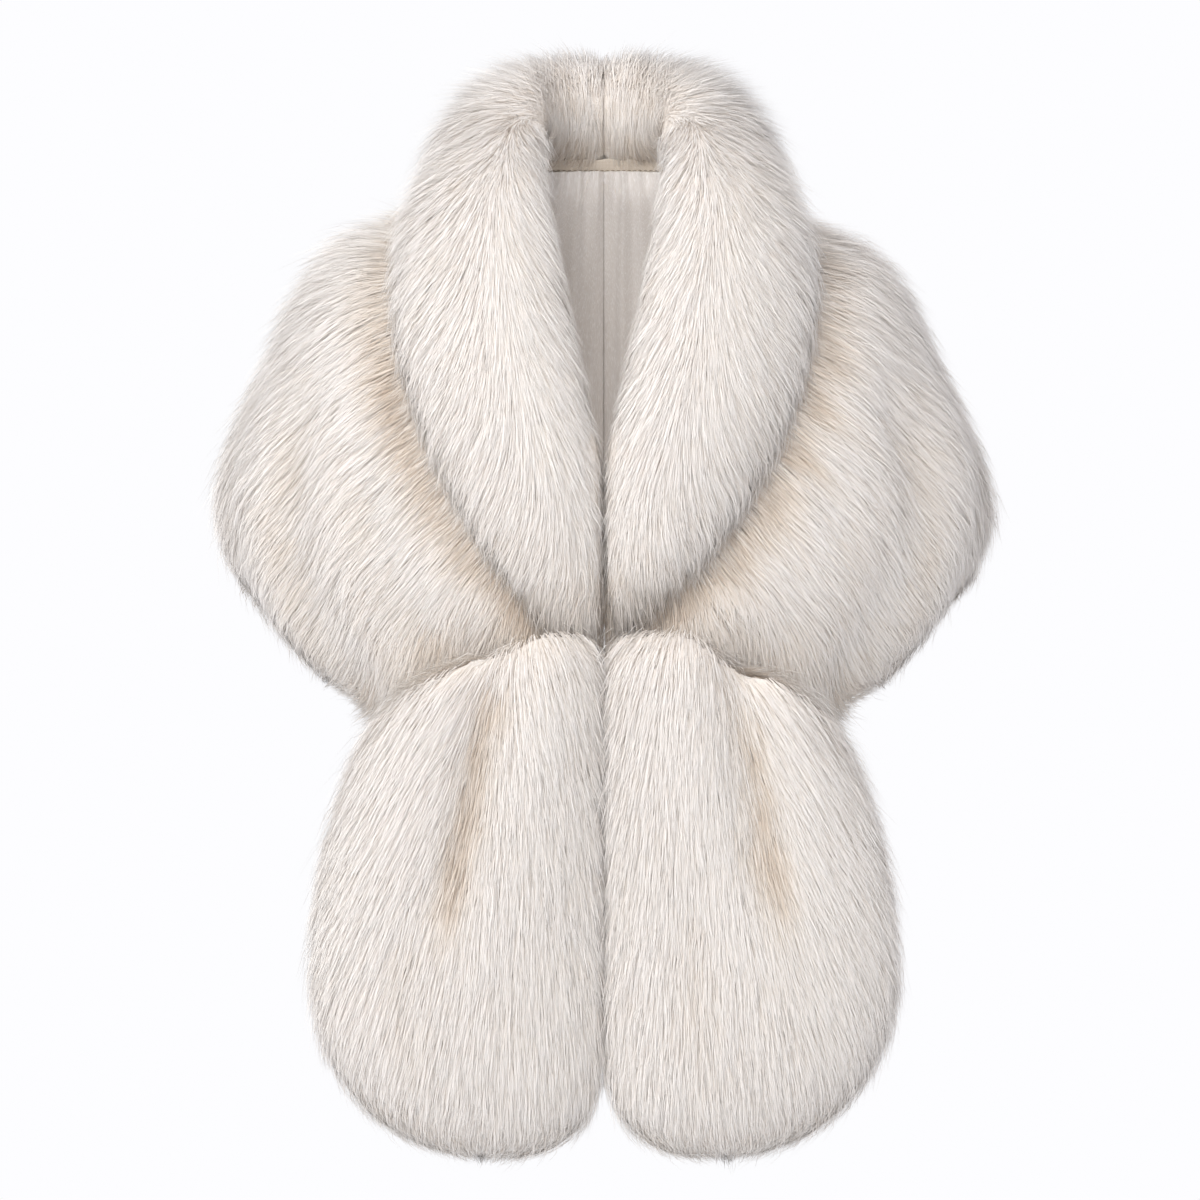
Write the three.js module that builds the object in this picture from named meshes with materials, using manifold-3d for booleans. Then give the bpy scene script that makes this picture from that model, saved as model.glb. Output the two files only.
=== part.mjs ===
// Fur collar wrap: a short cape of long-pile faux fur, shown filled out as it is worn with nobody in it.
// It has a back panel, two front panels, a shawl collar in two halves that roll round the neck and
// meet at the breastbone, two broad rounded ends that hang from the drawn-in waist, a satin back
// lining in two halves and the narrow band that joins lining and collar at the nape.
// Millimetres, +Z up. The front faces -Y and the wearer's left side is +X. The origin is on the
// neck's axis, level with the seam at the nape, where the wearer's neck and shoulders carry it.
import * as THREE from "three";
import { mergeVertices } from "three/addons/utils/BufferGeometryUtils.js";
import Module from "manifold-3d";

// Driving dimensions
const FUR = 33; // backing and combed-down pile of the panels
const PRESSED_FUR = 14; // the same under the collar's weight
const GATHERED_FUR = 20; // the same where the waist is drawn in
const SEAM_GAP = 0.3;
const LIP = 1.6; // a panel's cut edge, inside the fur that curls round it
const HEM_ROUND = 24; // how far from the hem the pile begins to curl round it
const NECK_ROUND = 8;
const NECK_BLUNT = 2; // how far up that curl the neck's edge is cut off
const SATIN = 1.2;
const BAND = 1.4;
const SEAM_ANGLE = 0.06; // degrees that a seam's edge keeps from the seam's own line
const PAST_SEAM = 1; // degrees that a panel's cutting form runs past its seams
const SIDE_SEAM = 90;
const CENTRE_BACK = 180;
const FACET_TOLERANCE = 0.05; // a cut solid's facets are merged within this

// The general figure inside the cape, as rings. down: below the nape. wide, deep: half sizes.
// square: 2 is an ellipse, and more is squarer at the arms.
const FIGURE = [
  { down: -14, wide: 66, deep: 59, square: 2 },
  { down: 0, wide: 72, deep: 63, square: 2 },
  { down: 20, wide: 84, deep: 71, square: 2 },
  { down: 40, wide: 104, deep: 79, square: 2.05 },
  { down: 66, wide: 136, deep: 89, square: 2.1 },
  { down: 86, wide: 168, deep: 96, square: 2.15 },
  { down: 110, wide: 192, deep: 104, square: 2.2 },
  { down: 140, wide: 209, deep: 111, square: 2.25 },
  { down: 175, wide: 224, deep: 117, square: 2.3 },
  { down: 213, wide: 243, deep: 120, square: 2.3 },
  { down: 262, wide: 260, deep: 121, square: 2.3 },
  { down: 300, wide: 254, deep: 119, square: 2.3 },
  { down: 345, wide: 235, deep: 114, square: 2.25 },
  { down: 395, wide: 207, deep: 106, square: 2.2 },
  { down: 440, wide: 184, deep: 98, square: 2.2 },
];

// Three lines round the cape. around: 0 is centre front, 90 a side and 180 centre back.
const NECKLINE = [
  { around: 0, down: 240 },
  { around: 3, down: 228 },
  { around: 6, down: 176 },
  { around: 11, down: 110 },
  { around: 25, down: 46 },
  { around: 45, down: 24 },
  { around: 90, down: 11 },
  { around: 135, down: 4 },
  { around: 180, down: 2 },
];
const COLLAR_EDGE = [
  { around: 0, down: 352 },
  { around: 13, down: 319 },
  { around: 20, down: 289 },
  { around: 27, down: 236 },
  { around: 36, down: 184 },
  { around: 46, down: 118 },
  { around: 60, down: 85 },
  { around: 90, down: 60 },
  { around: 135, down: 52 },
  { around: 180, down: 50 },
];
const HEM = [
  { around: 0, down: 368 },
  { around: 12, down: 374 },
  { around: 25, down: 389 },
  { around: 38, down: 412 },
  { around: 48, down: 429 },
  { around: 60, down: 400 },
  { around: 75, down: 350 },
  { around: 90, down: 314 },
  { around: 112, down: 314 },
  { around: 135, down: 330 },
  { around: 180, down: 354 },
];

// The cape's folds, as troughs that run down it. start, end: the trough's own around at each end.
const FOLDS = [
  { start: 58, end: 47, top: 150, bottom: 400, depth: 13, spread: 5 },
  { start: 40, end: 27, top: 190, bottom: 360, depth: 5, spread: 5 },
  { start: 80, end: 74, top: 200, bottom: 330, depth: 6, spread: 5 },
  { start: 118, end: 112, top: 110, bottom: 310, depth: 8, spread: 6 },
  { start: 150, end: 146, top: 140, bottom: 350, depth: 7, spread: 6 },
  { start: 197, end: 204, top: 170, bottom: 350, depth: 6, spread: 7 },
  { start: 238, end: 246, top: 120, bottom: 320, depth: 9, spread: 6 },
  { start: 282, end: 286, top: 190, bottom: 330, depth: 6, spread: 5 },
  { start: 303, end: 312, top: 160, bottom: 400, depth: 12, spread: 5 },
  { start: 321, end: 334, top: 180, bottom: 360, depth: 6, spread: 5 },
];
const FOLD_EASE = 70; // the length over which a trough deepens
// The soft ridge beside a trough, as shares of its depth and spread.
const FOLD_RIDGE = { height: 0.45, beside: 2.4 };
// Where the collar stops pressing the pile, and where the drawn-in waist holds it.
const COLLAR_HOLD = { before: 8, over: 34 };
const WAIST_HOLD = { halfAngle: 30, ease: 20, from: 318, over: 34, share: 0.9 };

// The collar round the neck. out, up: its section's middle. spill, drop: half its width, which
// leans outwards and down. thick: half its thickness.
const NECK_ROLL = [
  { around: 180, out: 99, up: 18, spill: 14, drop: 64, thick: 38 },
  { around: 150, out: 96, up: 17, spill: 17, drop: 62, thick: 38 },
  { around: 120, out: 88, up: 14, spill: 25, drop: 56, thick: 37 },
  { around: 90, out: 86, up: 6, spill: 38, drop: 48, thick: 36 },
  { around: 65, out: 98, up: -14, spill: 50, drop: 38, thick: 34 },
];
// The collar down the front. inner, outer: its edges' distance from the centre line. down: the inner
// edge's place below the nape. fall: how much lower the outer edge lies.
const LAPEL = [
  { down: 38, fall: 50, inner: 34, outer: 139, thick: 33 },
  { down: 86, fall: 36, inner: 28, outer: 146, thick: 32 },
  { down: 134, fall: 24, inner: 20, outer: 142, thick: 32 },
  { down: 182, fall: 12, inner: 10, outer: 132, thick: 31 },
  { down: 232, fall: 5, inner: 0.8, outer: 115, thick: 30 },
  { down: 283, fall: 0, inner: 0.8, outer: 89, thick: 27 },
  { down: 318, fall: 0, inner: 0.8, outer: 61, thick: 22 },
  { down: 340, fall: 0, inner: 0.8, outer: 33, thick: 15 },
  { down: 350, fall: 0, inner: 0.8, outer: 13, thick: 6 },
];
// The wearer's left half is tucked up a little shorter, below the row it starts from.
const SHORT_TIP = { from: 190, by: 14 };
const COLLAR_PUFF = { across: 2.5, round: 0.6 }; // exponents of its section's roundness
const LAPEL_LIFT = 0.45; // the section's middle above the panel, as a share of its half thickness

// The hanging ends. front, back: how far forward of the neck's axis each face lies.
const END = [
  { down: 357, inner: 16, outer: 92, front: 164, back: 142 },
  { down: 364, inner: 6, outer: 118, front: 175, back: 126 },
  { down: 381, inner: 2, outer: 146, front: 183, back: 112 },
  { down: 410, inner: 0.4, outer: 171, front: 187, back: 107 },
  { down: 446, inner: 0.4, outer: 187, front: 187, back: 105 },
  { down: 490, inner: 0.4, outer: 201, front: 186, back: 104 },
  { down: 535, inner: 0.4, outer: 211, front: 185, back: 104 },
  { down: 580, inner: 0.4, outer: 217, front: 183, back: 104 },
  { down: 620, inner: 0.4, outer: 218, front: 181, back: 104 },
  { down: 654, inner: 0.4, outer: 212, front: 179, back: 104 },
  { down: 690, inner: 3, outer: 197, front: 173, back: 108 },
  { down: 719, inner: 11, outer: 173, front: 165, back: 115 },
  { down: 739, inner: 28, outer: 141, front: 156, back: 124 },
  { down: 750, inner: 58, outer: 104, front: 146, back: 135 },
];
const END_PUFF = { across: 2.6, round: 0.55 };
const END_TOP_DROOP = 34; // the top's outer corner hangs this much lower than its middle
const END_TOP_NOTCH = 10; // the first trough's depth in the gathered top's outline
const END_TOP_FADE = 5; // how fast both die away downwards
const END_FOLD_EASE = { top: 30, bottom: 110 };
// Each end's troughs, where its gathered top opens out. x: distance from the centre line.
const END_FOLDS = {
  left: [
    { top: 352, bottom: 600, startX: 94, endX: 128, depth: 19, spread: 17 },
    { top: 520, bottom: 720, startX: 62, endX: 66, depth: 5, spread: 16 },
  ],
  right: [
    { top: 352, bottom: 610, startX: 72, endX: 122, depth: 19, spread: 17 },
    { top: 540, bottom: 720, startX: 150, endX: 128, depth: 5, spread: 16 },
  ],
};

// The back lining's gathers under the band, and the band's own reach.
const GATHER = { pitch: 17, depth: 4.2, fade: 70, reach: 64, sideEase: 20, topEase: 14 };
const LINING_DRAPE = { depth: 5, spread: 26, at: 24, from: 40, ease: 60 };
const BACK_COLUMNS = 32;
const BACK_ROWS = 14;
const LINING_ROWS = 13; // the lining stops a row above the hem
const BAND_TALL = 9;
const BAND_SIDE = 116; // around where the band ends, under the collar
const ROOM_FOOT = 356; // down to where the collar keeps clear of the figure's room

// Facets across and along each form
const BAND_GRID = [22, 2];
const ROOM_GRID = [36, 18];
const FRONT_GRID = [18, 16];
const COLLAR_GRID = [26, 14];
const END_GRID = [22, 18];

// A monotone curve through one column of a table, at a place in its first column.
function along(rows, by, column, at, flatEnds = false) {
  const last = rows.length - 1;
  if (at <= rows[0][by]) return rows[0][column];
  if (at >= rows[last][by]) return rows[last][column];
  const slope = (j) =>
    (rows[j + 1][column] - rows[j][column]) / (rows[j + 1][by] - rows[j][by]);
  const bend = (j) => {
    if (j === 0) return flatEnds ? 0 : slope(0);
    if (j === last) return flatEnds ? 0 : slope(last - 1);
    const before = slope(j - 1);
    const after = slope(j);
    return before * after <= 0 ? 0 : (2 * before * after) / (before + after);
  };
  let i = 0;
  while (rows[i + 1][by] < at) i++;
  const step = rows[i + 1][by] - rows[i][by];
  const s = (at - rows[i][by]) / step;
  return (
    rows[i][column] * (1 + 2 * s) * (1 - s) ** 2 +
    rows[i + 1][column] * s * s * (3 - 2 * s) +
    step * (bend(i) * s * (1 - s) ** 2 + bend(i + 1) * s * s * (s - 1))
  );
}

const clamp01 = (t) => Math.min(1, Math.max(0, t));
const smooth = (t) => clamp01(t) ** 2 * (3 - 2 * clamp01(t));
const hump = (t) => Math.exp(-t * t);
const radians = (degrees) => (degrees * Math.PI) / 180;
// A quarter circle's height at a distance from the edge, as a share of the full height.
const rounded = (distance, radius) =>
  Math.sqrt(1 - (1 - clamp01(distance / radius)) ** 2);
// The angle from centre front, the same on both sides.
const fromFront = (around) => Math.abs(((((around + 180) % 360) + 360) % 360) - 180);
const lineDown = (line, around) => along(line, "around", "down", fromFront(around), true);

// The figure's surface: an angle round it and a distance below the nape.
function figurePoint(around, down) {
  const row = (column) => along(FIGURE, "down", column, down);
  const [s, c] = [Math.sin(radians(around)), Math.cos(radians(around))];
  const power = 2 / row("square");
  return new THREE.Vector3(
    row("wide") * Math.sign(s) * Math.abs(s) ** power,
    -row("deep") * Math.sign(c) * Math.abs(c) ** power,
    -down,
  );
}

// The figure's outward direction, from its slope both ways.
function figureNormal(around, down) {
  const turn = figurePoint(around + 0.5, down).sub(figurePoint(around - 0.5, down));
  const drop = figurePoint(around, down + 2).sub(figurePoint(around, down - 2));
  const normal = drop.cross(turn).normalize();
  return normal.dot(figurePoint(around, 0).setZ(0)) < 0 ? normal.negate() : normal;
}

// How far the cape's folds move it out, which is inwards in a trough.
function foldOffset(around, down) {
  const turned = ((around % 360) + 360) % 360;
  return FOLDS.reduce((sum, fold) => {
    const share = clamp01((down - fold.top) / (fold.bottom - fold.top));
    const middle = fold.start + (fold.end - fold.start) * share;
    const grown = smooth((down - fold.top) / FOLD_EASE) * fold.depth;
    const aside = (turned - middle) / fold.spread;
    const ridge = FOLD_RIDGE.height * hump(aside - FOLD_RIDGE.beside);
    return sum + grown * (ridge - hump(aside));
  }, 0);
}

const onCape = (around, down, out) =>
  figurePoint(around, down).addScaledVector(
    figureNormal(around, down),
    out + foldOffset(around, down),
  );

const onFigure = (around, down) => onCape(around, down, -SEAM_GAP);

// The panels' thickness: pressed under the collar, drawn in at the waist, round at both edges.
function furThickness(around, down) {
  const past = down - lineDown(COLLAR_EDGE, around) + COLLAR_HOLD.before;
  const full = PRESSED_FUR + (FUR - PRESSED_FUR) * smooth(past / COLLAR_HOLD.over);
  const waist =
    WAIST_HOLD.share *
    smooth((WAIST_HOLD.halfAngle - fromFront(around)) / WAIST_HOLD.ease) *
    smooth((down - WAIST_HOLD.from) / WAIST_HOLD.over);
  return (
    (full + (GATHERED_FUR - full) * waist) *
    rounded(lineDown(HEM, around) - down, HEM_ROUND) *
    rounded(down - lineDown(NECKLINE, around) + NECK_BLUNT, NECK_ROUND)
  );
}

// A closed solid between two grids of points, inner and outer, with its four rims.
function wallBetween(rows, columns, inner, outer) {
  const points = [];
  const faces = [];
  const number = (side, i, k) => (side * (rows + 1) + i) * (columns + 1) + k;
  for (const face of [inner, outer])
    for (let i = 0; i <= rows; i++)
      for (let k = 0; k <= columns; k++) points.push(...face(i / rows, k / columns));
  const quad = (a, b, c, d) => faces.push(a, b, c, a, c, d);
  for (let i = 0; i < rows; i++)
    for (let k = 0; k < columns; k++) {
      quad(number(0, i, k), number(0, i + 1, k), number(0, i + 1, k + 1), number(0, i, k + 1));
      quad(number(1, i, k), number(1, i, k + 1), number(1, i + 1, k + 1), number(1, i + 1, k));
    }
  for (let i = 0; i < rows; i++) {
    quad(number(0, i, 0), number(1, i, 0), number(1, i + 1, 0), number(0, i + 1, 0));
    quad(
      number(0, i, columns),
      number(0, i + 1, columns),
      number(1, i + 1, columns),
      number(1, i, columns),
    );
  }
  for (let k = 0; k < columns; k++) {
    quad(number(0, 0, k), number(0, 0, k + 1), number(1, 0, k + 1), number(1, 0, k));
    quad(
      number(0, rows, k),
      number(1, rows, k),
      number(1, rows, k + 1),
      number(0, rows, k + 1),
    );
  }
  return facingOut(points, faces);
}

// The same solid with its faces turned out, whichever way its grids ran.
function facingOut(points, faces) {
  const corner = (n) => new THREE.Vector3().fromArray(points, faces[n] * 3);
  let volume = 0;
  for (let n = 0; n < faces.length; n += 3)
    volume += corner(n).dot(corner(n + 1).cross(corner(n + 2)));
  if (volume < 0)
    for (let n = 0; n < faces.length; n += 3)
      [faces[n + 1], faces[n + 2]] = [faces[n + 2], faces[n + 1]];
  return new THREE.BufferGeometry()
    .setAttribute("position", new THREE.BufferAttribute(new Float32Array(points), 3))
    .setIndex(faces);
}

const wasm = await Module();
wasm.setup();

function solidFrom(geometry) {
  const merged = mergeVertices(geometry, 1e-3);
  return new wasm.Manifold(
    new wasm.Mesh({
      numProp: 3,
      vertProperties: merged.attributes.position.array,
      triVerts: new Uint32Array(merged.index.array),
    }),
  );
}

// The first solid less the others, as its largest piece.
function cutBy(geometry, others) {
  let solid = solidFrom(geometry);
  for (const other of others) solid = solid.subtract(solidFrom(other));
  const pieces = solid.decompose().sort((a, b) => b.volume() - a.volume());
  const mesh = pieces[0].simplify(FACET_TOLERANCE).getMesh();
  return new THREE.BufferGeometry()
    .setAttribute("position", new THREE.BufferAttribute(mesh.vertProperties, 3))
    .setIndex(new THREE.BufferAttribute(mesh.triVerts, 1));
}

// A stretch of the cape from its neckline to its hem. aroundAt gives the angle for a share of its
// columns. A grown one has the same facets moved out, and reaches past its seams.
function panel(aroundOf, rows, columns, grow = 0) {
  const past = grow > 0 ? 1 : 0;
  const place = (i, k) => {
    const share = (i * (columns + 2 * past) - past) / columns;
    const around = aroundOf(clamp01(share));
    const down = downOf(around, k);
    const pile = LIP + furThickness(around, down);
    const beyond = past * (share < 0 ? -PAST_SEAM : share > 1 ? PAST_SEAM : 0);
    return { around: around + beyond, down: down - grow * Math.cos(k * Math.PI), pile };
  };
  const inner = (i, k) => onCape(place(i, k).around, place(i, k).down, -grow);
  const outer = (i, k) => onCape(place(i, k).around, place(i, k).down, place(i, k).pile + grow);
  return wallBetween(columns + 2 * past, rows, inner, outer);
}

// Rows crowd towards the neckline and the hem, where the pile rounds over.
function downOf(around, share) {
  const top = lineDown(NECKLINE, around);
  return top + (lineDown(HEM, around) - top) * (0.5 - 0.5 * Math.cos(share * Math.PI));
}

// The back's columns crowd towards its centre, and the fronts' towards theirs.
function backAround(share) {
  const t = 2 * share - 1;
  const reach = CENTRE_BACK - SIDE_SEAM - SEAM_ANGLE;
  return CENTRE_BACK + Math.sign(t) * reach * Math.abs(t) ** 1.5;
}
const backPanel = (grow) => panel(backAround, BACK_ROWS, BACK_COLUMNS, grow);

function frontPanel(side, grow) {
  const [centre, seam] = [2 * SEAM_ANGLE, SIDE_SEAM - SEAM_ANGLE];
  const left = (share) => centre + (seam - centre) * share ** 1.4;
  return panel(side > 0 ? left : (share) => 360 - left(1 - share), ...FRONT_GRID, grow);
}

// The angle at which the cape's ring reaches a distance from the centre line.
function aroundAt(x, down) {
  const share = clamp01(x / along(FIGURE, "down", "wide", down));
  const square = along(FIGURE, "down", "square", down);
  return (Math.asin(share ** (square / 2)) * 180) / Math.PI;
}

// The collar's sections from centre back to its point: middle, half width, upright and thickness.
function collarSections(side) {
  const round = NECK_ROLL.map((row) => {
    const [s, c] = [Math.sin(radians(row.around)), -Math.cos(radians(row.around))];
    const middle = new THREE.Vector3(s * row.out, c * row.out, row.up);
    const half = new THREE.Vector3(s * row.spill, c * row.spill, -row.drop);
    const upright = new THREE.Vector3(s * row.drop, c * row.drop, row.spill).normalize();
    return { middle, half, upright, thick: row.thick, bend: 0 };
  });
  const shorter = side > 0 ? SHORT_TIP.by / (LAPEL.at(-1).down - SHORT_TIP.from) : 0;
  const front = LAPEL.map((row) => {
    const down = row.down - shorter * Math.max(0, row.down - SHORT_TIP.from);
    const under = (x, share) => {
      const lower = down + row.fall * share;
      return onCape(aroundAt(x, lower), lower, PRESSED_FUR);
    };
    const [a, b] = [under(row.inner, 0), under(row.outer, 1)];
    const middleX = (row.inner + row.outer) / 2;
    const middleDown = down + row.fall / 2;
    const upright = figureNormal(aroundAt(middleX, middleDown), middleDown);
    const chord = a.clone().add(b).multiplyScalar(0.5);
    const bend = Math.max(0, under(middleX, 0.5).sub(chord).dot(upright));
    const middle = chord.addScaledVector(upright, bend + LAPEL_LIFT * row.thick);
    return { middle, half: b.sub(a).multiplyScalar(0.5), upright, thick: row.thick, bend };
  });
  return [...round, ...front];
}

// Half of the collar. across runs from the neck's edge to the outer edge of the fall.
function collarHalf(side, rows, columns, grow = 0) {
  const sections = collarSections(side);
  const curves = Object.fromEntries(
    ["middle", "half", "upright"].map((name) => [
      name,
      new THREE.CatmullRomCurve3(sections.map((s) => s[name]), false, "centripetal"),
    ]),
  );
  const last = sections.length - 1;
  const table = sections.map((s, n) => ({ n, thick: s.thick, bend: s.bend }));
  const place = (i, k, face) => {
    const [middle, half, upright] = Object.values(curves).map((c) => c.getPoint(i));
    const across = -Math.cos(k * Math.PI);
    const thick = along(table, "n", "thick", i * last) + grow;
    const round = (1 - Math.abs(across) ** COLLAR_PUFF.across) ** COLLAR_PUFF.round;
    const height = round * thick + LIP / 2;
    const bend = along(table, "n", "bend", i * last) * across ** 2;
    const wider = 1 + grow / half.length();
    const point = middle
      .addScaledVector(half, across * wider)
      .addScaledVector(upright.normalize(), face * height - bend);
    point.x = Math.max(point.x, SEAM_GAP);
    return point.setX(point.x * side);
  };
  return wallBetween(rows, columns, (i, k) => place(i, k, -1), (i, k) => place(i, k, 1));
}

// One hanging end, as rows from its gathered top to its round foot.
function hangingEnd(side, folds, rows, columns) {
  const [first, foot] = [END[0].down, END.at(-1).down];
  const place = (i, k, face) => {
    const down = first + (foot - first) * (0.5 - 0.5 * Math.cos(i * Math.PI));
    const row = (column) => along(END, "down", column, down);
    const across = -Math.cos(k * Math.PI);
    const x = (row("inner") + row("outer")) / 2 + (across * (row("outer") - row("inner"))) / 2;
    const round = (1 - Math.abs(across) ** END_PUFF.across) ** END_PUFF.round;
    const half = ((row("front") - row("back")) / 2) * round + LIP / 2;
    const troughs = folds.reduce((sum, fold) => {
      const share = clamp01((down - fold.top) / (fold.bottom - fold.top));
      const middle = fold.startX + (fold.endX - fold.startX) * share;
      const fadeIn = smooth((down - fold.top) / END_FOLD_EASE.top);
      const fadeOut = smooth((fold.bottom - down) / END_FOLD_EASE.bottom);
      return sum + fadeIn * fadeOut * fold.depth * hump((x - middle) / fold.spread);
    }, 0);
    const topped = (1 - (down - first) / (foot - first)) ** END_TOP_FADE;
    const notch = END_TOP_NOTCH * hump((x - folds[0].startX) / folds[0].spread);
    const droop = (END_TOP_DROOP * Math.max(0, across) ** 3 + notch) * topped;
    const sunk = face > 0 ? troughs * round : 0;
    const forward = (row("front") + row("back")) / 2 + face * half - sunk;
    return new THREE.Vector3(side * x, -forward, -(down + droop));
  };
  return wallBetween(rows, columns, (i, k) => place(i, k, -1), (i, k) => place(i, k, 1));
}

// Half of the satin lining, made from the back panel's own points, moved in. It is gathered to the
// band and drapes loosely below it.
function liningHalf(side) {
  const columns = BACK_COLUMNS / 2 - 1;
  const place = (i, k, out) => {
    const share = side > 0 ? (1 + i * columns) / BACK_COLUMNS : 0.5 + (i * columns) / BACK_COLUMNS;
    const around = backAround(share);
    const down = downOf(around, (k * LINING_ROWS) / BACK_ROWS);
    const top = downOf(around, 0);
    const hem = downOf(around, LINING_ROWS / BACK_ROWS);
    const x = Math.abs(figurePoint(around, down).x);
    const gathers =
      GATHER.depth *
      (0.5 - 0.5 * Math.cos((2 * Math.PI * x) / GATHER.pitch)) *
      Math.exp(-(down - top) / GATHER.fade) *
      smooth((GATHER.reach - x) / GATHER.sideEase) *
      smooth((down - top) / GATHER.topEase);
    const drape =
      LINING_DRAPE.depth *
      hump((x - LINING_DRAPE.at) / LINING_DRAPE.spread) *
      smooth((down - LINING_DRAPE.from) / LINING_DRAPE.ease) *
      smooth((hem - down) / LINING_DRAPE.ease);
    const point = onCape(around, down, out - SEAM_GAP - gathers - drape);
    return point.setX(side * Math.max(side * point.x, SEAM_GAP / 2));
  };
  return wallBetween(columns, LINING_ROWS, (i, k) => place(i, k, -SATIN), (i, k) => place(i, k, 0));
}

// The band at the nape, a strip that stands on the lining's upper edge.
function neckBand(grow = 0) {
  const place = (i, k, out) => {
    const around = BAND_SIDE - grow + (360 - 2 * BAND_SIDE + 2 * grow) * i;
    const foot = lineDown(NECKLINE, around) - SEAM_GAP;
    return onCape(around, foot + grow - (BAND_TALL + 2 * grow) * (1 - k), out);
  };
  const inner = (i, k) => place(i, k, -BAND - grow);
  return wallBetween(...BAND_GRID, inner, (i, k) => place(i, k, grow));
}

// Half of the figure's room inside the cape, up to the band's top. The collar keeps clear of it.
function wearerRoom(side) {
  const tall = ROOM_FOOT + BAND_TALL;
  const wall = (i, k) => onFigure(side * 180 * i, ROOM_FOOT - tall * k);
  const middle = (i, k) => wall(i, k).setX(-side);
  return wallBetween(...ROOM_GRID, middle, wall);
}

const material = (name, color, roughness) =>
  new THREE.MeshStandardMaterial({ name, color, roughness, metalness: 0 });
const fur = material("faux fur", 0xe8e1db, 1);
const satin = material("satin", 0xd9d1cc, 0.35);
const bandCloth = material("band cloth", 0xcfc2b4, 0.7);

// Every piece, cut clear of the one it lies on.
const clearOf = SEAM_GAP + FACET_TOLERANCE;
const wholeCape = [
  backPanel(clearOf),
  frontPanel(1, clearOf),
  frontPanel(-1, clearOf),
];
const grownBand = neckBand(clearOf);
const collarCutters = [...wholeCape, grownBand, wearerRoom(1), wearerRoom(-1)];
const endCutters = [
  ...wholeCape,
  collarHalf(1, ...COLLAR_GRID, clearOf),
  collarHalf(-1, ...COLLAR_GRID, clearOf),
];

const pieces = {
  back_panel: [backPanel(), fur],
  front_panel_left: [frontPanel(1), fur],
  front_panel_right: [frontPanel(-1), fur],
  collar_left: [cutBy(collarHalf(1, ...COLLAR_GRID), collarCutters), fur],
  collar_right: [cutBy(collarHalf(-1, ...COLLAR_GRID), collarCutters), fur],
  end_left: [cutBy(hangingEnd(1, END_FOLDS.left, ...END_GRID), endCutters), fur],
  end_right: [cutBy(hangingEnd(-1, END_FOLDS.right, ...END_GRID), endCutters), fur],
  lining_left: [liningHalf(1), satin],
  lining_right: [liningHalf(-1), satin],
  neck_band: [neckBand(), bandCloth],
};

const wrap = new THREE.Group();
wrap.name = "fur_collar_wrap";
for (const [name, [geometry, finish]] of Object.entries(pieces)) {
  const mesh = new THREE.Mesh(geometry, finish);
  mesh.name = name;
  wrap.add(mesh);
}

export default wrap;
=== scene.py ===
# %% [markdown]
# # A fur collar wrap
#
# The real wrap is sewn from long-pile faux fur: a knitted backing with ivory hairs about 45 mm long, set
# in dense, shorter underfur. A rolled shawl collar lies on a cape, two gathered ends hang from the
# drawn-in waist, and a satin lining shows through the open neck.
#
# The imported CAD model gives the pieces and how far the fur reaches. It is loaded first and never moved.

import bpy
import numpy as np
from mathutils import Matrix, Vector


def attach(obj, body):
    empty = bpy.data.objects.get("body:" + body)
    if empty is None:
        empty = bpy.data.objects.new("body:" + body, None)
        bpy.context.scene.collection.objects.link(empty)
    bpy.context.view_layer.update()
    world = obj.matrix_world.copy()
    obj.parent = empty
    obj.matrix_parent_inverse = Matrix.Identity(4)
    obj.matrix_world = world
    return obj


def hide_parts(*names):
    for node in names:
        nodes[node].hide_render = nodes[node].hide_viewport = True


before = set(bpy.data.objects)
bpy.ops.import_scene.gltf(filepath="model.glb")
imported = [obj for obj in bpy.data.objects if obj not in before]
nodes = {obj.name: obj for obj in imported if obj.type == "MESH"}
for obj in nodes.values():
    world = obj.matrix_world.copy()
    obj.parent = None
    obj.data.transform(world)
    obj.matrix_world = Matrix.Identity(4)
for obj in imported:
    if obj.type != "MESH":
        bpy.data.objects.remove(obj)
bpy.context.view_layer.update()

print("nodes:", sorted(nodes))

# %% [markdown]
# ## The view
#
# A catalogue picture of a garment is taken from far away with a long lens, level with its middle, so
# that the sides keep their true width. The whole frame is 900 mm wide at the wrap's front.
#
# A large soft lamp on the left models the fur, a smaller one high in front reaches the lining in the
# open neck, and a third behind the camera lightens the gaps between hairs. Round them are a studio's pale
# grey walls, and only the backdrop straight behind the wrap is white, so that the fur turns darker
# towards its edges. The floor is far enough below for the wrap to hang clear of it.

# %% Camera, floor and light
MM = 0.001
FRAME_WIDE = 900 * MM
CAMERA_AWAY = 5.0
FRONT_PLANE = -100 * MM
VIEW_CENTRE = (-3 * MM, -334 * MM)
FLOOR_HEIGHT = -950 * MM
FLOOR_SIDE = 2.6


def to_linear(hex_colour):
    """Linear red, green, blue and alpha of an sRGB hex colour: c / 12.92 up to 0.04045, and above it
    ((c + 0.055) / 1.055) to the power 2.4."""
    part = np.array([int(hex_colour[i : i + 2], 16) for i in (1, 3, 5)]) / 255
    linear = np.where(part <= 0.04045, part / 12.92, ((part + 0.055) / 1.055) ** 2.4)
    return (*linear.tolist(), 1.0)


def add_node(tree, kind, settings=None, links=None, stops=None):
    """Adds one node to a tree. settings holds values for its inputs or its own properties, links holds
    the output that feeds an input, and stops holds the places and colours of a ramp."""
    node = tree.nodes.new(kind)
    for name, value in (settings or {}).items():
        if isinstance(name, int) or name in node.inputs:
            node.inputs[name].default_value = value
        else:
            setattr(node, name, value)
    for name, source in (links or {}).items():
        tree.links.new(source, node.inputs[name])
    if stops:
        elements = node.color_ramp.elements
        while len(elements) < len(stops):
            elements.new(1.0)
        for element, (place, colour) in zip(elements, stops):
            element.position = place
            element.color = to_linear(colour)
    return node


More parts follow.
